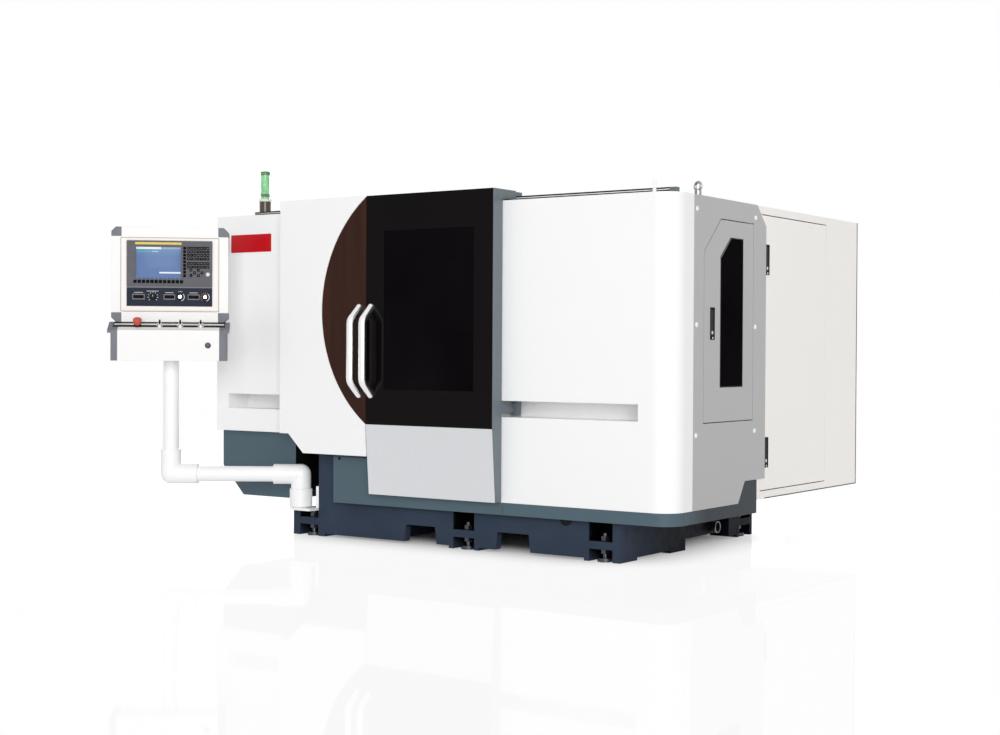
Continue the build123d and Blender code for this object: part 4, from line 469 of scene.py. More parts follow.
def rounded_outline(x0, x1, y0, y1, radius, steps=5):
    """A rectangle with round corners, counter-clockwise from its right bottom corner."""
    points = []
    corners = ((x1, y0, -90), (x1, y1, 0), (x0, y1, 90), (x0, y0, 180))
    for x, y, start in corners:
        cx = x - radius if x == x1 else x + radius
        cy = y - radius if y == y1 else y + radius
        for i in range(steps + 1):
            angle = math.radians(start + 90 * i / steps)
            points.append((cx + radius * math.cos(angle), cy + radius * math.sin(angle)))
    return points


def grown(box, margin, radius):
    """The rounded outline of a box (x0, x1, y0, y1), moved out by a margin."""
    x0, x1, y0, y1 = box
    return rounded_outline(x0 - margin, x1 + margin, y0 - margin, y1 + margin, radius)


def moved(profile, radius, height):
    """A profile moved out by a radius and up by a height."""
    return [(r + radius, h + height) for r, h in profile]


def add_sheet(bm, points, place, low, high, bevel=0.0, hole=None):
    """An outline in the place's XY plane made solid from low to high along its Z, with an optional hole
    that has as many points as the outline."""
    def ring(outline, height):
        return [bm.verts.new(place @ Vector((x, y, height))) for x, y in outline]
    bottom, top = ring(points, low), ring(points, high)
    count = len(points)
    walls = [(bottom, top, False)]
    if hole:
        hole_bottom, hole_top = ring(hole, low), ring(hole, high)
        walls.append((hole_bottom, hole_top, True))
        for i in range(count):
            j = (i + 1) % count
            bm.faces.new((top[i], top[j], hole_top[j], hole_top[i]))
            bm.faces.new((bottom[j], bottom[i], hole_bottom[i], hole_bottom[j]))
    else:
        bm.faces.new(top)
        bm.faces.new(list(reversed(bottom)))
    rim = []
    for a, b, inward in walls:
        for i in range(count):
            j = (i + 1) % count
            quad = (a[i], a[j], b[j], b[i])
            bm.faces.new(tuple(reversed(quad)) if inward else quad)
            rim.append(bm.edges.get((b[i], b[j])))
    if bevel:
        round_edges(bm, rim, bevel)


def facing(u, v, z):
    """A place on a front face: its X to the right, its Y up and its Z out towards the viewer."""
    return Matrix.Translation((u, v, z)) @ Matrix.Rotation(math.radians(90), 4, "X")


def facing_side(x, y, z):
    """A place on the right side: its X to the back, its Y up and its Z out to the right."""
    turn = Matrix(((0, 0, 1), (1, 0, 0), (0, 1, 0))).to_4x4()
    return Matrix.Translation((x, y, z)) @ turn


def turned(*values):
    """A build for make: one turned shape, with add_lathe's values."""
    return lambda bm: add_lathe(bm, *values)


def flat(*values):
    """A build for make: one sheet, with add_sheet's values."""
    return lambda bm: add_sheet(bm, *values)


def plate(outline, place, sheet, hole=None):
    """A build for make: one sheet with rounded_outline's values, and (low, high, bevel) along Z."""
    return flat(rounded_outline(*outline), place, *sheet, hole)


def add_object(name, data):
    made = bpy.data.objects.new(name, data)
    bpy.context.scene.collection.objects.link(made)
    return made


def add_mesh(name, bm, material):
    """An object of one material with the shape in bm, which is freed."""
    mesh = bpy.data.meshes.new(name)
    bm.to_mesh(mesh)
    bm.free()
    mesh.materials.append(material)
    return add_object(name, mesh)


def make(name, place, finish, body, build, stands_for=()):
    """A piece riding on a body: build(bm) adds its shape in a local frame, and finish names its look. It
    takes the record's slot of that name, or else the scene's own look of that name."""
    bm = bmesh.new()
    build(bm)
    bmesh.ops.remove_doubles(bm, verts=bm.verts[:], dist=MERGE_DISTANCE)
    bm.transform(place)
    bmesh.ops.recalc_face_normals(bm, faces=bm.faces[:])
    made = add_mesh(name, bm, (finishes.get(finish) or extras[finish]).material)
    made.data.shade_smooth()
    made.data.set_sharp_from_angle(angle=SHARP)
    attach(made, body)
    if stands_for:
        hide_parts(*stands_for)


# Plate and caps on the covers. Rounded outlines are (x0, x1, y0, y1, corner radius), sheets are (low, high,
# bevel) along the place's Z, and profiles are (radius, height) along it.
SIGN = (-2491, -2224, 1369, 1456, 4)
SIGN_SHEET = (0, 2, 0.6)
CAP_PROFILE = ((0, 0), (11, 0), (11, 1.5), (9.5, 3.2), (6.05, 4.5), (0, 5))
CAP_YS = (198, 757)
CAP_ZS = (1491, 1004, 539)


def bolt_caps(bm):
    for y in CAP_YS:
        for z in CAP_ZS:
            add_lathe(bm, CAP_PROFILE, facing_side(0, y, z), 24)


make("sign_plate", MACHINE, "sign_red", "machine", plate(SIGN, facing(0, 0, 0), SIGN_SHEET))
make("bolt_caps", MACHINE, "cover_white", "machine", bolt_caps)

# Locks in the latches, and the screw under each of them
LOCK_PROFILE = ((7.5, 0), (7.5, 1.2), (6.5, 1.8), (5.3, 1.8), (5.1, 0.9), (0, 0.9))
LOCK_SLOT = ((-0.6, -2.5, 0.9), (0.6, 2.5, 1.3))
LOCK_BEVEL = 0.15
LOCK_RISE = 15
LATCH_SCREW_PROFILE = ((5, 0), (5, 0.8), (4, 1.8), (2.4, 1.8), (2.2, 0.8), (0, 0.8))
SCREW_DROP = 8
LATCHES = (
    ("side_latch_lever", "service_latch", "side_latch_body", "service_door"),
    ("lower_latch_lever", "lower_latch", "cabinet_latch_bodies", "cabinet_leaf"),
    ("upper_latch_lever", "upper_latch", "cabinet_latch_bodies", "cabinet_leaf"),
)


def lock_cylinder(bm, place):
    """A key cylinder with a raised ring round its slot."""
    add_lathe(bm, LOCK_PROFILE, place, 24)
    add_block(bm, *(place @ Vector(corner) for corner in LOCK_SLOT), LOCK_BEVEL)


for lever, body, housing, leaf in LATCHES:
    low, high = local_box(lever, MACHINE)
    y = (low.y + high.y) / 2
    lock = facing_side(high.x, y, low.z + LOCK_RISE)
    screw = facing_side(local_box(housing, MACHINE)[1].x, y, low.z - SCREW_DROP)
    make(lever + "_lock", MACHINE, "zinc", body, lambda bm: lock_cylinder(bm, lock))
    make(lever + "_screw", MACHINE, "zinc", leaf, turned(LATCH_SCREW_PROFILE, screw, 20))

# Pendant head: front frame, control unit, operator panel
BEZEL = (-233, 225, 1071, 1420, 3)
BEZEL_SHEET = (0, 1.6, 0.5)
HEAD_SEAM = (-236, 228, 1068, 1423, 6)
HEAD_SEAM_SHEET = (0, 0.5, 0)
FRAME_LAP = 1
FRAME_CORNER = 3
STRIP = (-167, 51, 1388.5, 1399.5, 2)
STRIP_SHEET = (0, 0.8, 0.3)
DIVIDER_RISE = 1
DIVIDER_BEVEL = 1
unit_low, unit_high = local_box("unit_plate", PENDANT)
panel_low, panel_high = local_box("operator_panel", PENDANT)
PANEL_FACE = panel_low.y
ON_HEAD = facing(0, unit_high.y, 0)
ON_UNIT = facing(0, unit_low.y, 0)
ON_PANEL = facing(0, PANEL_FACE, 0)


def panel_divider(bm):
    low = (unit_low.x, PANEL_FACE - DIVIDER_RISE, panel_high.z)
    add_block(bm, low, (unit_high.x, unit_high.y, unit_low.z), DIVIDER_BEVEL)


opening = grown((unit_low.x, unit_high.x, panel_low.z, unit_high.z), FRAME_LAP, FRAME_CORNER)
bezel = plate(BEZEL, ON_HEAD, BEZEL_SHEET, opening)
seam = plate(HEAD_SEAM, ON_HEAD, HEAD_SEAM_SHEET, rounded_outline(*BEZEL))
make("head_bezel", PENDANT, "bezel_cream", "pendant", bezel)
make("head_seam", PENDANT, "seam_warm", "pendant", seam)
make("unit_strip", PENDANT, "strip_yellow", "pendant", plate(STRIP, ON_UNIT, STRIP_SHEET))
make("panel_divider", PENDANT, "trim_grey", "pendant", panel_divider)

# Screen picture: bands of (u0, u1, v0, v1, colour) in shares of the screen, over a blue ground, and a row
# of soft labels along the bottom
SCREEN_GROUND = ((0, srgb(104, 128, 172)), (0.7, srgb(98, 124, 170)), (1, srgb(112, 146, 182)))
SCREEN_BANDS = (
    (0, 1, 0.93, 1, srgb(150, 172, 205)),
    (0, 0.56, 0.93, 1, srgb(228, 240, 240)),
    (0.03, 0.36, 0.845, 0.875, srgb(84, 176, 178)),
    (0.36, 0.5, 0.845, 0.875, srgb(160, 198, 214)),
    (0.52, 1, 0.175, 0.225, srgb(226, 234, 246)),
    (0, 1, 0, 0.06, srgb(112, 132, 168)),
)
SOFT_LABELS = 10
SOFT_LABEL_START = 0.55
SOFT_LABEL_SPARE = 0.6
SOFT_LABEL_W = 0.055
SOFT_LABEL_V = (0.012, 0.05)
SCREEN_GLOW = 0.04
SCREEN_BEVEL = 0.6
screen_low, screen_high = local_box("screen", PENDANT)


def screen_finish():
    finish = Finish("screen_picture", 0.18, specular=0.1)
    finish.place = finish.coords.outputs["UV"]
    across, up = finish.axis("X"), finish.axis("Y")

    def between(value, low, high):
        above, below = finish.math("GREATER_THAN", value, low), finish.math("LESS_THAN", value, high)
        return finish.math("MULTIPLY", above, below)

    bands = list(SCREEN_BANDS)
    for i in range(SOFT_LABELS):
        start = (i + SOFT_LABEL_START) / (SOFT_LABELS + SOFT_LABEL_SPARE)
        bands.append((start, start + SOFT_LABEL_W, *SOFT_LABEL_V, srgb(84, 100, 134)))
    picture = finish.ramp(up, *SCREEN_GROUND)
    for u0, u1, v0, v1, colour in bands:
        inside = finish.math("MULTIPLY", between(across, u0, u1), between(up, v0, v1))
        picture = finish.mix(inside, picture, colour)
    finish.feed("Base Color", picture)
    finish.feed("Emission Color", picture)
    finish.feed("Emission Strength", SCREEN_GLOW)
    finish.feed("Roughness", finish.span(finish.noise(12, detail=2), 0.15, 0.22))
    return finish


def display(bm):
    add_block(bm, screen_low, screen_high, SCREEN_BEVEL)
    layer = bm.loops.layers.uv.new("picture")
    size = screen_high - screen_low
    for face in bm.faces:
        for loop in face.loops:
            offset = loop.vert.co - screen_low
            loop[layer].uv = (offset.x / size.x, offset.z / size.z)


extras["screen_picture"] = screen_finish()
make("display", PENDANT, "screen_picture", "pendant", display, ("screen",))

# Keys: printed frames round those under the screen, and plain bars for the legends of the keypad
PRINT_T = 0.3
KEYPAD_FROM_U = 75
SOFT_KEY_Z = 1225
KEY_FRAME = 1.4
KEY_CORNER = 1.5
KEY_FACE = local_box("key_pad", PENDANT)[0].y
FACE_DEPTH = 0.1
MARK_WIDTHS = (4.4, 2.6, 5.2, 3.4, 4.8)
MARK_H = 1.6
MARK_T = 0.2
MARK_BEVEL = 0.05


def key_faces():
    """The (U, Z) spans of the keys' front faces, read from the node's own triangles."""
    corners = local_points("key_pad", PENDANT)
    spans = set()
    for polygon in frame["nodes"]["key_pad"].data.polygons:
        face = [corners[i] for i in polygon.vertices]
        if max(p.y for p in face) < KEY_FACE + FACE_DEPTH:
            us, zs = ([round(p[i], 1) for p in face] for i in (0, 2))
            spans.add((min(us), max(us), min(zs), max(zs)))
    return sorted(spans)


def key_frames(bm):
    for face in key_faces():
        if face[3] < SOFT_KEY_Z:
            add_sheet(bm, grown(face, KEY_FRAME, KEY_CORNER), ON_UNIT, 0, PRINT_T)


def key_marks(bm):
    keypad = [face for face in key_faces() if face[0] > KEYPAD_FROM_U]
    for i, (u0, u1, z0, z1) in enumerate(keypad):
        half = MARK_WIDTHS[i % len(MARK_WIDTHS)] / 2
        u, z = (u0 + u1) / 2, (z0 + z1) / 2
        low = (u - half, KEY_FACE - MARK_T, z - MARK_H / 2)
        add_block(bm, low, (u + half, KEY_FACE, z + MARK_H / 2), MARK_BEVEL)


make("key_frames", PENDANT, "key_black", "pendant", key_frames)
make("key_marks", PENDANT, "label_white", "pendant", key_marks)

# Operator panel: readouts, legends, dials and a button. Ticks are (radius, length, width, start, end,
# count) and the arc is (inner radius, outer radius, start, end), with start and end in degrees.
READOUT_US = ((-180, -122), (-33, 21), (80, 136))
READOUT_Z = (1126, 1152.5)
READOUT_CORNER = 2
READOUT_SHEET = (0, 1, 0.3)
GLASS_INSET = (4, 5)
GLASS_CORNER = 1
GLASS_SHEET = (0, 0.4, 0.1)
LABEL_Z = (1158, 1161)
LABEL_INSET = 0.14
LABEL_BEVEL = 0.1
DIAL_LABELS = ((-112, -56, 1165, 1168), (36, 55, 1164, 1166.5))
MODE_TICKS = (19, 6, 3, -40, 220, 9)
FEED_TICKS = (17.5, 5, 2.6, 60, 220, 7)
DIAL_ARC = (17, 21, -75, 50)
BUTTON = facing(175, unit_low.y, 1248)
BUTTON_PROFILE = ((9.5, 0), (9.5, 1.5), (8.5, 2), (8, 1.4), (7.4, 3.2), (6.6, 3.8), (0, 4))


def knob_place(joint):
    spot = PENDANT.inverted() @ Vector(JOINTS[joint]["pos_m"])
    return facing(spot.x, PANEL_FACE, spot.z)


def glass_outline(u0, u1):
    du, dz = GLASS_INSET
    return rounded_outline(u0 + du, u1 - du, READOUT_Z[0] + dz, READOUT_Z[1] - dz, GLASS_CORNER)


def readout_frames(bm):
    for span in READOUT_US:
        outline = rounded_outline(*span, *READOUT_Z, READOUT_CORNER)
        add_sheet(bm, outline, ON_PANEL, *READOUT_SHEET, glass_outline(*span))


def readout_glass(bm):
    for span in READOUT_US:
        add_sheet(bm, glass_outline(*span), ON_PANEL, *GLASS_SHEET)


def panel_labels(bm):
    """Plain strips where a panel has its legends."""
    strips = []
    for u0, u1 in READOUT_US:
        inset = (u1 - u0) * LABEL_INSET
        strips.append((u0 + inset, u1 - inset, *LABEL_Z))
    for u0, u1, z0, z1 in (*strips, *DIAL_LABELS):
        add_block(bm, (u0, PANEL_FACE - PRINT_T, z0), (u1, PANEL_FACE, z1), LABEL_BEVEL)


def add_arc(bm, place, r0, r1, start, end, steps=14):
    """A printed ring sector from start to end degrees, counter-clockwise from the place's X."""
    angles = [math.radians(start + (end - start) * i / steps) for i in range(steps + 1)]
    outer = [(r1 * math.cos(a), r1 * math.sin(a)) for a in angles]
    inner = [(r0 * math.cos(a), r0 * math.sin(a)) for a in reversed(angles)]
    add_sheet(bm, outer + inner, place, 0, PRINT_T)


def add_ticks(bm, place, radius, length, width, start, end, count):
    """Printed ticks round a dial, from start to end degrees."""
    half = width / 2
    corners = ((radius, -half), (radius + length, -half), (radius + length, half), (radius, half))
    for i in range(count):
        angle = math.radians(start + (end - start) * i / (count - 1))
        add_sheet(bm, corners, place @ Matrix.Rotation(angle, 4, "Z"), 0, PRINT_T)


def dial_marks(bm):
    add_ticks(bm, knob_place("mode_turn"), *MODE_TICKS)
    for joint in ("speed_turn", "feed_turn"):
        add_arc(bm, knob_place(joint), *DIAL_ARC)


def feed_ticks(bm):
    add_ticks(bm, knob_place("feed_turn"), *FEED_TICKS)


make("readout_frames", PENDANT, "trim_grey", "pendant", readout_frames)
make("readout_glass", PENDANT, "readout", "pendant", readout_glass)
make("panel_labels", PENDANT, "label_white", "pendant", panel_labels)
make("dial_marks", PENDANT, "label_white", "pendant", dial_marks)
make("feed_ticks", PENDANT, "tick_orange", "pendant", feed_ticks)
make("unit_button", PENDANT, "nylon_white", "pendant", turned(BUTTON_PROFILE, BUTTON, 28))

# Knobs: a wide skirt with a fluted grip, and on top a pointer or a bright cap that has one
KNOB_PROFILE = ((0, 0.6), (14, 0.6), (14, 3), (13, 4), (12, 5), (11.4, 16.5), (10.4, 18),
                (0, 18))
KNOB_FLUTE = (12, 1.3, 5, 17)
KNOB_CAP_PROFILE = ((0, 18), (8.6, 18), (8.6, 18.8), (7.8, 19.3), (0, 19.3))
CAP_POINTER = ((-1, 3), (1, 3), (1, 10), (-1, 10))
CAP_POINTER_SHEET = (18, 20, 0.4)
POINTER = ((-1.2, 1), (1.2, 1), (1.2, 10), (-1.2, 10))
POINTER_SHEET = (17.8, 19, 0.4)


def knob_cap(bm, place):
    add_lathe(bm, KNOB_CAP_PROFILE, place, 28)
    add_sheet(bm, CAP_POINTER, place, *CAP_POINTER_SHEET)


for dial in ("mode", "speed", "feed"):
    knob, body, place = dial + "_knob", dial + "_dial", knob_place(dial + "_turn")
    grip = turned(KNOB_PROFILE, place, 72, KNOB_FLUTE)
    make(knob + "_grip", PENDANT, "black_plastic", body, grip, stands_for=(knob,))
    if dial == "mode":
        make(knob + "_pointer", PENDANT, "label_white", body, flat(POINTER, place, *POINTER_SHEET))
    else:
        make(knob + "_cap", PENDANT, "chrome", body, lambda bm: knob_cap(bm, place))

# Console: dark plate on the slope, legend strip, key lock, switches and stop button. The button's profile
# is measured from its top.
PLATE = (-265, 259, -14, 52, 3)
PLATE_SHEET = (0, 1.2, 0.4)
LEGEND = (-260, 254, 10, 28, 2)
LEGEND_SHEET = (1.2, 1.6, 0.1)
KEY_LOCK = facing(181, -150, 908)
KEY_LOCK_PROFILE = ((14, 0), (14, 2), (12.5, 4), (10, 4.4), (9, 3.4), (0, 3.4))
KEY_SLOT = ((-1, -5), (1, -5), (1, 5), (-1, 5))
KEY_SLOT_SHEET = (3.4, 4.2, 0.2)
SWITCHES = ("left", "middle", "right")
SWITCH_RING_PROFILE = ((15.5, 0), (15.5, 3), (14.3, 4.4), (12.5, 4.4), (12.1, 3), (12.1, 0))
DRUM_PROFILE = ((0, 0.6), (12, 0.6), (12, 12.5), (10.5, 14), (0, 14))
BAR = ((-3.6, -11), (3.6, -11), (2.6, 0), (3.6, 11), (-3.6, 11), (-2.6, 0))
BAR_SHEET = (14, 29.5, 1)
STOP_PROFILE = ((0, -22), (13, -22), (18.5, -18), (20, -13), (20, -7), (18.4, -2.2),
                (15, 0), (10, -0.7), (0, -1.2))
STEM_R = 13.4
STEM_FOOT = -10
STEM_DROP = 22.2
COLLAR_PROFILE = ((14.4, 0), (19, 0), (19, 3), (17.6, 5), (16.4, 8.5), (14.4, 8.5))
stop_low, stop_high = local_box("emergency_stop", CONSOLE)
STOP = Matrix.Translation(((stop_low.x + stop_high.x) / 2, (stop_low.y + stop_high.y) / 2, 0))


def console_lock(bm):
    add_lathe(bm, KEY_LOCK_PROFILE, KEY_LOCK, 32)
    add_sheet(bm, KEY_SLOT, KEY_LOCK, *KEY_SLOT_SHEET)


def switch_place(side):
    spot = CONSOLE.inverted() @ Vector(JOINTS[side + "_switch_turn"]["pos_m"])
    return Matrix.Translation((spot.x, spot.y, 0))


def switch_bezels(bm):
    for side in SWITCHES:
        add_lathe(bm, SWITCH_RING_PROFILE, switch_place(side), 36)


make("console_plate", CONSOLE, "black_plastic", "pendant", plate(PLATE, Matrix(), PLATE_SHEET))
legend = plate(LEGEND, Matrix(), LEGEND_SHEET)
make("console_strip", CONSOLE, "bezel_cream", "pendant", legend)
make("console_lock", PENDANT, "lock_dark", "pendant", console_lock)
make("switch_bezels", CONSOLE, "chrome", "pendant", switch_bezels)
for side in SWITCHES:
    body, place = side + "_switch", switch_place(side)
    drum = turned(DRUM_PROFILE, place, 32)
    make(body + "_drum", CONSOLE, "chrome", body, drum, stands_for=(side + "_selector",))
    make(body + "_bar", CONSOLE, "black_plastic", body, flat(BAR, place, *BAR_SHEET))
button = turned(moved(STOP_PROFILE, 0, stop_high.z), STOP, 40)
make("stop_head", CONSOLE, "stop_red", "stop_button", button, stands_for=("emergency_stop",))
stem_top = stop_high.z - STEM_DROP
stem = turned(((STEM_R, STEM_FOOT), (STEM_R, stem_top), (0, stem_top)), STOP, 28)
make("stop_stem", CONSOLE, "stop_red", "stop_button", stem)
make("stop_collar", CONSOLE, "black_plastic", "pendant", turned(COLLAR_PROFILE, STOP, 36))

# Signal lamp: ring, core and dark blocks in the lens. The ring's profile is measured from the lens's
# radius and the base's top.
lens_low, lens_high = local_box("lamp_lens", MACHINE)
LAMP = Matrix.Translation(((lens_low.x + lens_high.x) / 2, (lens_low.y + lens_high.y) / 2, 0))
LENS_R = (lens_high.x - lens_low.x) / 2
RING_PROFILE = ((0.5, -7), (2.5, -6), (2.5, 5), (1.5, 6), (0.2, 6), (0.2, -7))
CORE_R = 22
CORE_FOOT = lens_low.z + 1
CORE_TOP = 1771
RIBS = 12
RIB_H = 0.8
RIB_SHARE = 0.7
BLOCKS_Z = ((1661, 1678), (1771, 1791))
BLOCK_R = 23
BLOCK_CUT = 3


def lamp_core(bm):
    """A ribbed column inside the clear sleeve."""
    pitch = (CORE_TOP - CORE_FOOT) / RIBS
    profile = [(0, CORE_FOOT)]
    for i in range(RIBS):
        profile.append((CORE_R, CORE_FOOT + i * pitch))
        profile.append((CORE_R - RIB_H, CORE_FOOT + (i + RIB_SHARE) * pitch))
    profile += [(CORE_R - RIB_H, CORE_TOP), (0, CORE_TOP)]
    add_lathe(bm, profile, LAMP, 32)


def lamp_blocks(bm):
    r, cut = BLOCK_R, BLOCK_CUT
    for z0, z1 in BLOCKS_Z:
        add_lathe(bm, ((0, z0), (r, z0), (r, z1 - cut), (r - cut, z1), (0, z1)), LAMP, 32)


ring = turned(moved(RING_PROFILE, LENS_R, local_box("lamp_base", MACHINE)[1].z), LAMP, 40)
make("lamp_ring", MACHINE, "nylon_white", "machine", ring)
make("lamp_core", MACHINE, "lamp_core", "machine", lamp_core)
make("lamp_blocks", MACHINE, "lamp_block", "machine", lamp_blocks)

# Rails on the roof and the right door's stop
RAIL_SPANS = ((-2407, -1599), (-1533, -85))
RAIL_FRONT = 112
RAIL_COAT = 0.25
RAIL_BEVEL = 0.05
RAIL_STRIP_Z = (1567.4, 1571.4)
RAIL_LIPS_Z = ((1551, 1560.6), (1571.6, 1577.5))
GROOVE_Z = (1561.4, 1566.6)
GROOVE_DEPTH = (0.5, 5.6)
GROOVE_BEVEL = 0.4
POST = (-139, 80)
POST_HALF = 8
POST_T = 4
POST_CUT = 6
POST_FOOT = 26
POST_BEVEL = 0.6
ROOF_Z = 1550
POST_TOP = 1612
POST_SCREWS = (8, 20)
POST_SCREW_PROFILE = ((4.5, 0), (4.5, 1.6), (3.4, 3), (1.8, 3), (1.6, 1.4), (0, 1.4))


def add_rail_strip(bm, x0, x1, z0, z1):
    add_block(bm, (x0, RAIL_FRONT - RAIL_COAT, z0), (x1, RAIL_FRONT, z1), RAIL_BEVEL)


def rail_strips(bm):
    """Light wear strips along the rails, over their grooves."""
    for span in RAIL_SPANS:
        add_rail_strip(bm, *span, *RAIL_STRIP_Z)


def rail_lips_and_groove_shade(bm):
    """Dark edges of the rails, and dark strips in their grooves that paint the grooves' shade."""
    y0, y1 = (RAIL_FRONT + depth for depth in GROOVE_DEPTH)
    for x0, x1 in RAIL_SPANS:
        # Dark strip in the groove: painted shade
        add_block(bm, (x0, y0, GROOVE_Z[0]), (x1, y1, GROOVE_Z[1]), GROOVE_BEVEL)
        for lip in RAIL_LIPS_Z:
            add_rail_strip(bm, x0, x1, *lip)


def stop_post(bm):
    """A bent tab that stops the right door, on a foot with two screws."""
    x, y = POST
    x0, x1, front = x - POST_HALF, x + POST_HALF, y + POST_T / 2
    shoulder = POST_TOP - POST_CUT
    outline = [(x0, ROOF_Z), (x1, ROOF_Z), (x1, shoulder), (x1 - POST_CUT, POST_TOP),
               (x0 + POST_CUT, POST_TOP), (x0, shoulder)]
    add_sheet(bm, outline, facing(0, front, 0), 0, POST_T, POST_BEVEL)
    add_block(bm, (x0, y - POST_FOOT, ROOF_Z), (x1, front, ROOF_Z + POST_T), POST_BEVEL)
    for back in POST_SCREWS:
        add_lathe(bm, POST_SCREW_PROFILE, Matrix.Translation((x, y - back, ROOF_Z + POST_T)), 16)


make("rail_strips", MACHINE, "nylon_white", "machine", rail_strips)
make("rail_lips_and_groove_shade", MACHINE, "black_plastic", "machine", rail_lips_and_groove_shade)
make("stop_post", MACHINE, "cover_white", "machine", stop_post)

# Small things low on the machine: an open pipe end on the bed's right side, a black sheet on the left
# skirt's inner end wall that paints the shade in the gap beside the bed, a screw, seams, and a black disc that
# paints the shade in the mouth of a port half behind the splash pan
PIPE_END = facing_side(-310, 945, 72)
PIPE_PROFILE = ((24, 0), (24, 34), (20, 34), (20, 1), (0, 1))
RIM_PROFILE = ((24, 32), (26.5, 32), (27, 33), (27, 37.5), (26.5, 38), (24.5, 38),
               (24, 37.5), (24, 32))
SKIRT_WALL = facing_side(-2095, 0, 0)
SKIRT_GAP_SHADE = (42, 700, 200, 486, 4)
SKIRT_SHEET = (0, 0.8, 0.2)
APRON_SCREW = facing(-1783, 0, 377)
APRON_SCREW_PROFILE = ((7, 0), (7, 1.5), (5.6, 3.2), (3, 3.6), (2.6, 1.6), (0, 1.6))
PAN_Z = (168.5, 222.5)
PAN_SEAM_X = -844
PAN_SEAM_Y = 101
SEAM_HALF = 1.6
SEAM_T = 0.4
SEAM_BEVEL = 0.1
PORT = facing(-541, 40, 170)
PORT_PROFILE = ((32, 0), (32, 1.2), (30, 2), (29, 2), (28, 0.4), (0, 0.4))


def pan_seams(bm):
    x, y = PAN_SEAM_X, PAN_SEAM_Y
    z0, z1 = PAN_Z
    add_block(bm, (x - SEAM_HALF, -SEAM_T, z0), (x + SEAM_HALF, 0, z1), SEAM_BEVEL)
    add_block(bm, (0, y - SEAM_HALF, z0), (SEAM_T, y + SEAM_HALF, z1), SEAM_BEVEL)


make("drain_stub", MACHINE, "black_plastic", "machine", turned(PIPE_PROFILE, PIPE_END, 36))
make("stub_rim", MACHINE, "eye_steel", "machine", turned(RIM_PROFILE, PIPE_END, 36))
# A black sheet that paints the shade in the gap between the left skirt and the bed
make("skirt_gap_shade", MACHINE, "black_plastic", "machine", plate(SKIRT_GAP_SHADE, SKIRT_WALL, SKIRT_SHEET))
make("apron_screw", MACHINE, "black_plastic", "machine", turned(APRON_SCREW_PROFILE, APRON_SCREW, 20))
make("pan_seams", MACHINE, "dark_seam_and_edge_shade", "machine", pan_seams)
# A black disc that paints the shade in the port's mouth
make("bed_port_shade", MACHINE, "black_plastic", "machine", turned(PORT_PROFILE, PORT, 36))

# Seal round the side window, and dark strips that paint the shadow in the service door's gap and the shade along
# the cabinet's rear and bottom edges
WINDOW_CUT = (103, 94)
CUT_SLACK = 0.42
GASKET_LAP = 18
GASKET_W = 5
GASKET_SHEET = (-1.5, 0.8, 0.3)
PANEL_T = 3
DOOR_GAP = 4
SHADOW_CLEAR = 0.8
SHADOW_BEVEL = 0.2
EDGE_W = 9
EDGE_H = 5
EDGE_T = 0.5
EDGE_GAP = 0.5
EDGE_START = 80
EDGE_BEVEL = 0.1
CABINET_BOTTOM = 225
window_low, window_high = local_box("side_window", MACHINE)
door_low, door_high = local_box("side_door", MACHINE)
cabinet_low, cabinet_high = local_box("cabinet_shell", MACHINE)


def window_outline(inset):
    """The side window's outline, moved in by inset, in (Y, Z)."""
    y0, y1 = window_low.y + inset, window_high.y - inset
    z0, z1 = window_low.z + inset, window_high.z - inset
    cut_y, cut_z = (cut - inset * CUT_SLACK for cut in WINDOW_CUT)
    return [(y1, z0), (y1, z1), (y0 + cut_y, z1), (y0, z1 - cut_z), (y0, z0)]


def window_gasket(bm):
    outer, inner = window_outline(GASKET_LAP), window_outline(GASKET_LAP + GASKET_W)
    add_sheet(bm, outer, facing_side(door_high.x, 0, 0), *GASKET_SHEET, inner)


def door_gap_shadow(bm):
    """A dark strip in the gap under the service door that paints the gap's shadow."""
    low = (-PANEL_T, door_low.y, door_low.z - DOOR_GAP)
    add_block(bm, low, (-SHADOW_CLEAR, door_high.y, door_low.z - SHADOW_CLEAR), SHADOW_BEVEL)


# Dark strips that paint the shade along the cabinet's rear and bottom edges
def cabinet_edge_shade(bm):
    x0, x1 = cabinet_high.x, cabinet_high.x + EDGE_T
    y, z = cabinet_high.y - EDGE_W, CABINET_BOTTOM
    add_block(bm, (x0, y, z), (x1, cabinet_high.y, cabinet_high.z), EDGE_BEVEL)
    add_block(bm, (x0, cabinet_low.y + EDGE_START, z), (x1, y - EDGE_GAP, z + EDGE_H), EDGE_BEVEL)


make("window_gasket", MACHINE, "black_plastic", "service_door", window_gasket)
make("door_gap_shadow", MACHINE, "black_plastic", "machine", door_gap_shadow)
make("cabinet_edge_shade", MACHINE, "dark_seam_and_edge_shade", "machine", cabinet_edge_shade)

# Inside: bottom sheet of the rear cover, fronts of the drive modules, and the screws that clamp the wheel
SKIN = 1
BOTTOM_T = 2
BOTTOM_GAP = 0.1
BOTTOM_BEVEL = 0.5
DRIVE_FACE = local_box("cabinet_drives", MACHINE)[1].x
VENTS = 6
VENT_PITCH = 13
VENT_H = 5
VENT_T = 0.6
VENT_INSET = 16
VENT_BEVEL = 0.2
TERMINALS = 5
TERMINAL_RISE = 24
TERMINAL_H = 26
TERMINAL_T = 9
TERMINAL_INSET = 8
TERMINAL_BEVEL = 1
TERMINAL_PROFILE = ((5, 0), (5, 1.6), (4, 2.4), (2.2, 2.4), (2, 1), (0, 1))
WHEEL_FLANGE_X = -1369
WHEEL_SCREWS = 8
WHEEL_SCREW_PROFILE = ((8, 0), (8, 7), (7, 8), (4.4, 8), (4, 4), (0, 4))
SCREW_CIRCLE = 72


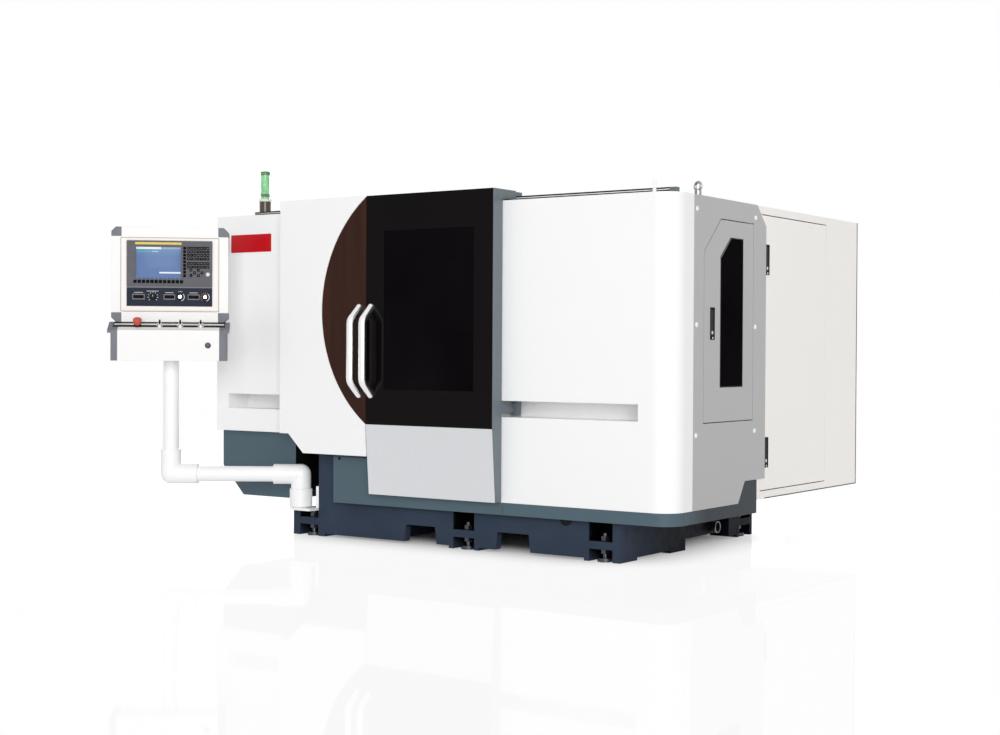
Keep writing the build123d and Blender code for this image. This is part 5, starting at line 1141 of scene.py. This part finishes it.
def rear_bottom(bm):
    """The sheet that closes the rear cover underneath, from the bed to its back wall."""
    low, high = local_box("rear_cover", MACHINE)
    xs = [p.x for p in local_points("rear_cover", MACHINE) if p.y > high.y - SKIN]
    edge = PANEL_T + BOTTOM_GAP
    corner = (min(xs) + edge, local_box("bed", MACHINE)[1].y + BOTTOM_GAP, low.z)
    add_block(bm, corner, (max(xs) - edge, high.y - edge, low.z + BOTTOM_T), BOTTOM_BEVEL)


def drive_fronts():
    """The (Y, Z) spans of the modules' front faces, read from the node's own corners."""
    faces = [p for p in local_points("cabinet_drives", MACHINE) if p.x > DRIVE_FACE - SKIN]
    ys = sorted({round(p.y) for p in faces})
    zs = sorted({round(p.z) for p in faces})
    return [(y0, y1, z0, z1) for y0, y1 in zip(ys[::2], ys[1::2]) for z0, z1 in zip(zs[::2], zs[1::2])]


def drive_vents(bm):
    """Vents high on each module, and the block of its terminals."""
    x = DRIVE_FACE
    for y0, y1, z0, z1 in drive_fronts():
        for i in range(VENTS):
            z = z1 - VENT_INSET - i * VENT_PITCH
            low = (x, y0 + VENT_INSET, z - VENT_H)
            add_block(bm, low, (x + VENT_T, y1 - VENT_INSET, z), VENT_BEVEL)
        foot = z0 + TERMINAL_RISE
        low = (x, y0 + TERMINAL_INSET, foot)
        add_block(bm, low, (x + TERMINAL_T, y1 - TERMINAL_INSET, foot + TERMINAL_H), TERMINAL_BEVEL)


def drive_terminals(bm):
    for y0, y1, z0, _ in drive_fronts():
        start, z = y0 + TERMINAL_INSET, z0 + TERMINAL_RISE + TERMINAL_H / 2
        step = (y1 - y0 - 2 * TERMINAL_INSET) / TERMINALS
        for i in range(TERMINALS):
            place = facing_side(DRIVE_FACE + TERMINAL_T, start + (i + 0.5) * step, z)
            add_lathe(bm, TERMINAL_PROFILE, place, 16)


def wheel_screws(bm):
    """Socket screws in a ring on the wheel's outer flange."""
    axis = MACHINE.inverted() @ Vector(JOINTS["wheel_turn"]["pos_m"])
    turn = Matrix(((0, 0, -1), (1, 0, 0), (0, -1, 0))).to_4x4()
    for i in range(WHEEL_SCREWS):
        angle = math.tau * i / WHEEL_SCREWS
        y, z = axis.y + SCREW_CIRCLE * math.cos(angle), axis.z + SCREW_CIRCLE * math.sin(angle)
        add_lathe(bm, WHEEL_SCREW_PROFILE, Matrix.Translation((WHEEL_FLANGE_X, y, z)) @ turn, 20)


make("rear_bottom", MACHINE, "carrier_grey", "machine", rear_bottom)
make("drive_vents", MACHINE, "black_plastic", "machine", drive_vents)
make("drive_terminals", MACHINE, "zinc", "machine", drive_terminals)
make("wheel_screws", MACHINE, "machine_steel", "wheel", wheel_screws)

# Floor, light and camera. Lights are (name, azimuth, height, power), in degrees and watts.
FLOOR_HALF = 40.0
FLOOR_TONE = (0.95, 0.95, 0.955, 1)
FLOOR_GLOSS = 0.06
GLOSS_TONE = (0.95, 0.95, 0.95, 1)
GLOSS_ROUGHNESS = 0.03
FLOOR_INSET = 0.3
FLOOR_FADE = 0.62
WORLD_LEVEL = 0.46
LIGHT_TARGET = Vector((0, 0, 0.8))
LIGHT_DISTANCE = 22.0
LIGHT_SIZE = 12.0
LIGHTS = (("key", 36.0, 12.0, 2650.0), ("back_fill", 216.0, 16.0, 1150.0))
CAMERA_PLACE = (3138.6, -5778.0, 889.5)
CAMERA_YAW = 34.704
CAMERA_PITCH = -0.592
CAMERA_ROLL = 0.314
CAMERA_LENS = 57.56
SENSOR_WIDTH = 36.0


def seen_ray(tree):
    """1 for rays that the eye follows: straight, mirrored or through glass."""
    path = tree.nodes.new("ShaderNodeLightPath")
    value = path.outputs["Is Camera Ray"]
    for name in ("Is Glossy Ray", "Is Transmission Ray"):
        value = calculate(tree, "MAXIMUM", value, path.outputs[name])
    return value


def beyond_footprint(tree):
    """Distance on the floor, in metres, from a line FLOOR_INSET inside the outline of the bed or of the
    rear cover, whichever is nearer."""
    def step(operation, *values):
        node = add_node(tree, "ShaderNodeVectorMath", *values, operation=operation)
        return node.outputs["Value" if operation == "LENGTH" else "Vector"]

    place = tree.nodes.new("ShaderNodeTexCoord").outputs["Object"]
    distances = []
    for name in ("bed", "rear_cover"):
        low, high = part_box(name)
        middle, half = (low + high) / 2, (high - low) / 2
        away = step("ABSOLUTE", step("SUBTRACT", place, (middle.x, middle.y, 0)))
        outside = step("SUBTRACT", away, (half.x - FLOOR_INSET, half.y - FLOOR_INSET, 0))
        distances.append(step("LENGTH", step("MAXIMUM", outside, (0, 0, 0))))
    return calculate(tree, "MINIMUM", *distances)


def floor_finish():
    """Pale floor with a faint mirror image. To the eye it turns plain white away from the machine, and
    keeps its shadow beside and under it."""
    material = bpy.data.materials.new("floor")
    material.use_nodes = True
    tree = material.node_tree
    tree.nodes.clear()
    fade = add_node(tree, "ShaderNodeMapRange", Value=beyond_footprint(tree), From_Max=FLOOR_FADE)
    fade.interpolation_type = "SMOOTHSTEP"
    share = calculate(tree, "MULTIPLY", fade.outputs["Result"], seen_ray(tree))
    matte = add_node(tree, "ShaderNodeBsdfDiffuse", Color=FLOOR_TONE)
    white = add_node(tree, "ShaderNodeEmission")
    ground = add_node(tree, "ShaderNodeMixShader", share, matte.outputs[0], white.outputs[0])
    gloss = add_node(tree, "ShaderNodeBsdfGlossy", Color=GLOSS_TONE, Roughness=GLOSS_ROUGHNESS)
    surface = add_node(tree, "ShaderNodeMixShader", FLOOR_GLOSS, ground.outputs[0], gloss.outputs[0])
    add_node(tree, "ShaderNodeOutputMaterial", Surface=surface.outputs[0])
    return material


def add_floor():
    bm = bmesh.new()
    bmesh.ops.create_grid(bm, x_segments=2, y_segments=2, size=FLOOR_HALF)
    floor = add_mesh("floor", bm, floor_finish())
    floor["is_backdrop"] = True


def add_world():
    """Even soft light, and a white background for the eye."""
    world = bpy.data.worlds.new("studio")
    bpy.context.scene.world = world
    world.use_nodes = True
    tree = world.node_tree
    background = tree.nodes["Background"]
    level = add_node(tree, "ShaderNodeMapRange", Value=seen_ray(tree), To_Min=WORLD_LEVEL, To_Max=1.0)
    fill(tree, background.inputs["Strength"], level.outputs["Result"])
    background.inputs["Color"].default_value = (1, 1, 1, 1)


def add_light(name, azimuth, height, power):
    """A square lamp aimed at the machine, from an azimuth that runs from the front to the right."""
    light = bpy.data.lights.new(name, "AREA")
    light.shape = "SQUARE"
    light.size = LIGHT_SIZE
    light.energy = power
    turn, rise = math.radians(azimuth), math.radians(height)
    towards = Vector((math.sin(turn) * math.cos(rise), -math.cos(turn) * math.cos(rise), math.sin(rise)))
    lamp = add_object(name, light)
    lamp.location = LIGHT_TARGET + towards * LIGHT_DISTANCE
    lamp.rotation_mode = "QUATERNION"
    lamp.rotation_quaternion = (-towards).to_track_quat("-Z", "Y")


def add_camera():
    yaw, pitch, roll = (math.radians(a) for a in (CAMERA_YAW, CAMERA_PITCH, CAMERA_ROLL))
    ahead = Vector((-math.sin(yaw) * math.cos(pitch), math.cos(yaw) * math.cos(pitch), math.sin(pitch)))
    level = Vector((math.cos(yaw), math.sin(yaw), 0))
    upward = level.cross(ahead)
    right = level * math.cos(roll) + upward * math.sin(roll)
    top = upward * math.cos(roll) - level * math.sin(roll)
    turn = Matrix((right, top, -ahead)).transposed().to_4x4()
    data = bpy.data.cameras.new("camera")
    data.sensor_width = SENSOR_WIDTH
    data.lens = CAMERA_LENS
    camera = add_object("camera", data)
    camera.matrix_world = Matrix.Translation(MACHINE @ Vector(CAMERA_PLACE)) @ turn
    bpy.context.scene.camera = camera


add_floor()
add_world()
for values in LIGHTS:
    add_light(*values)
add_camera()
bpy.context.scene.view_settings.view_transform = "Standard"

low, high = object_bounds()
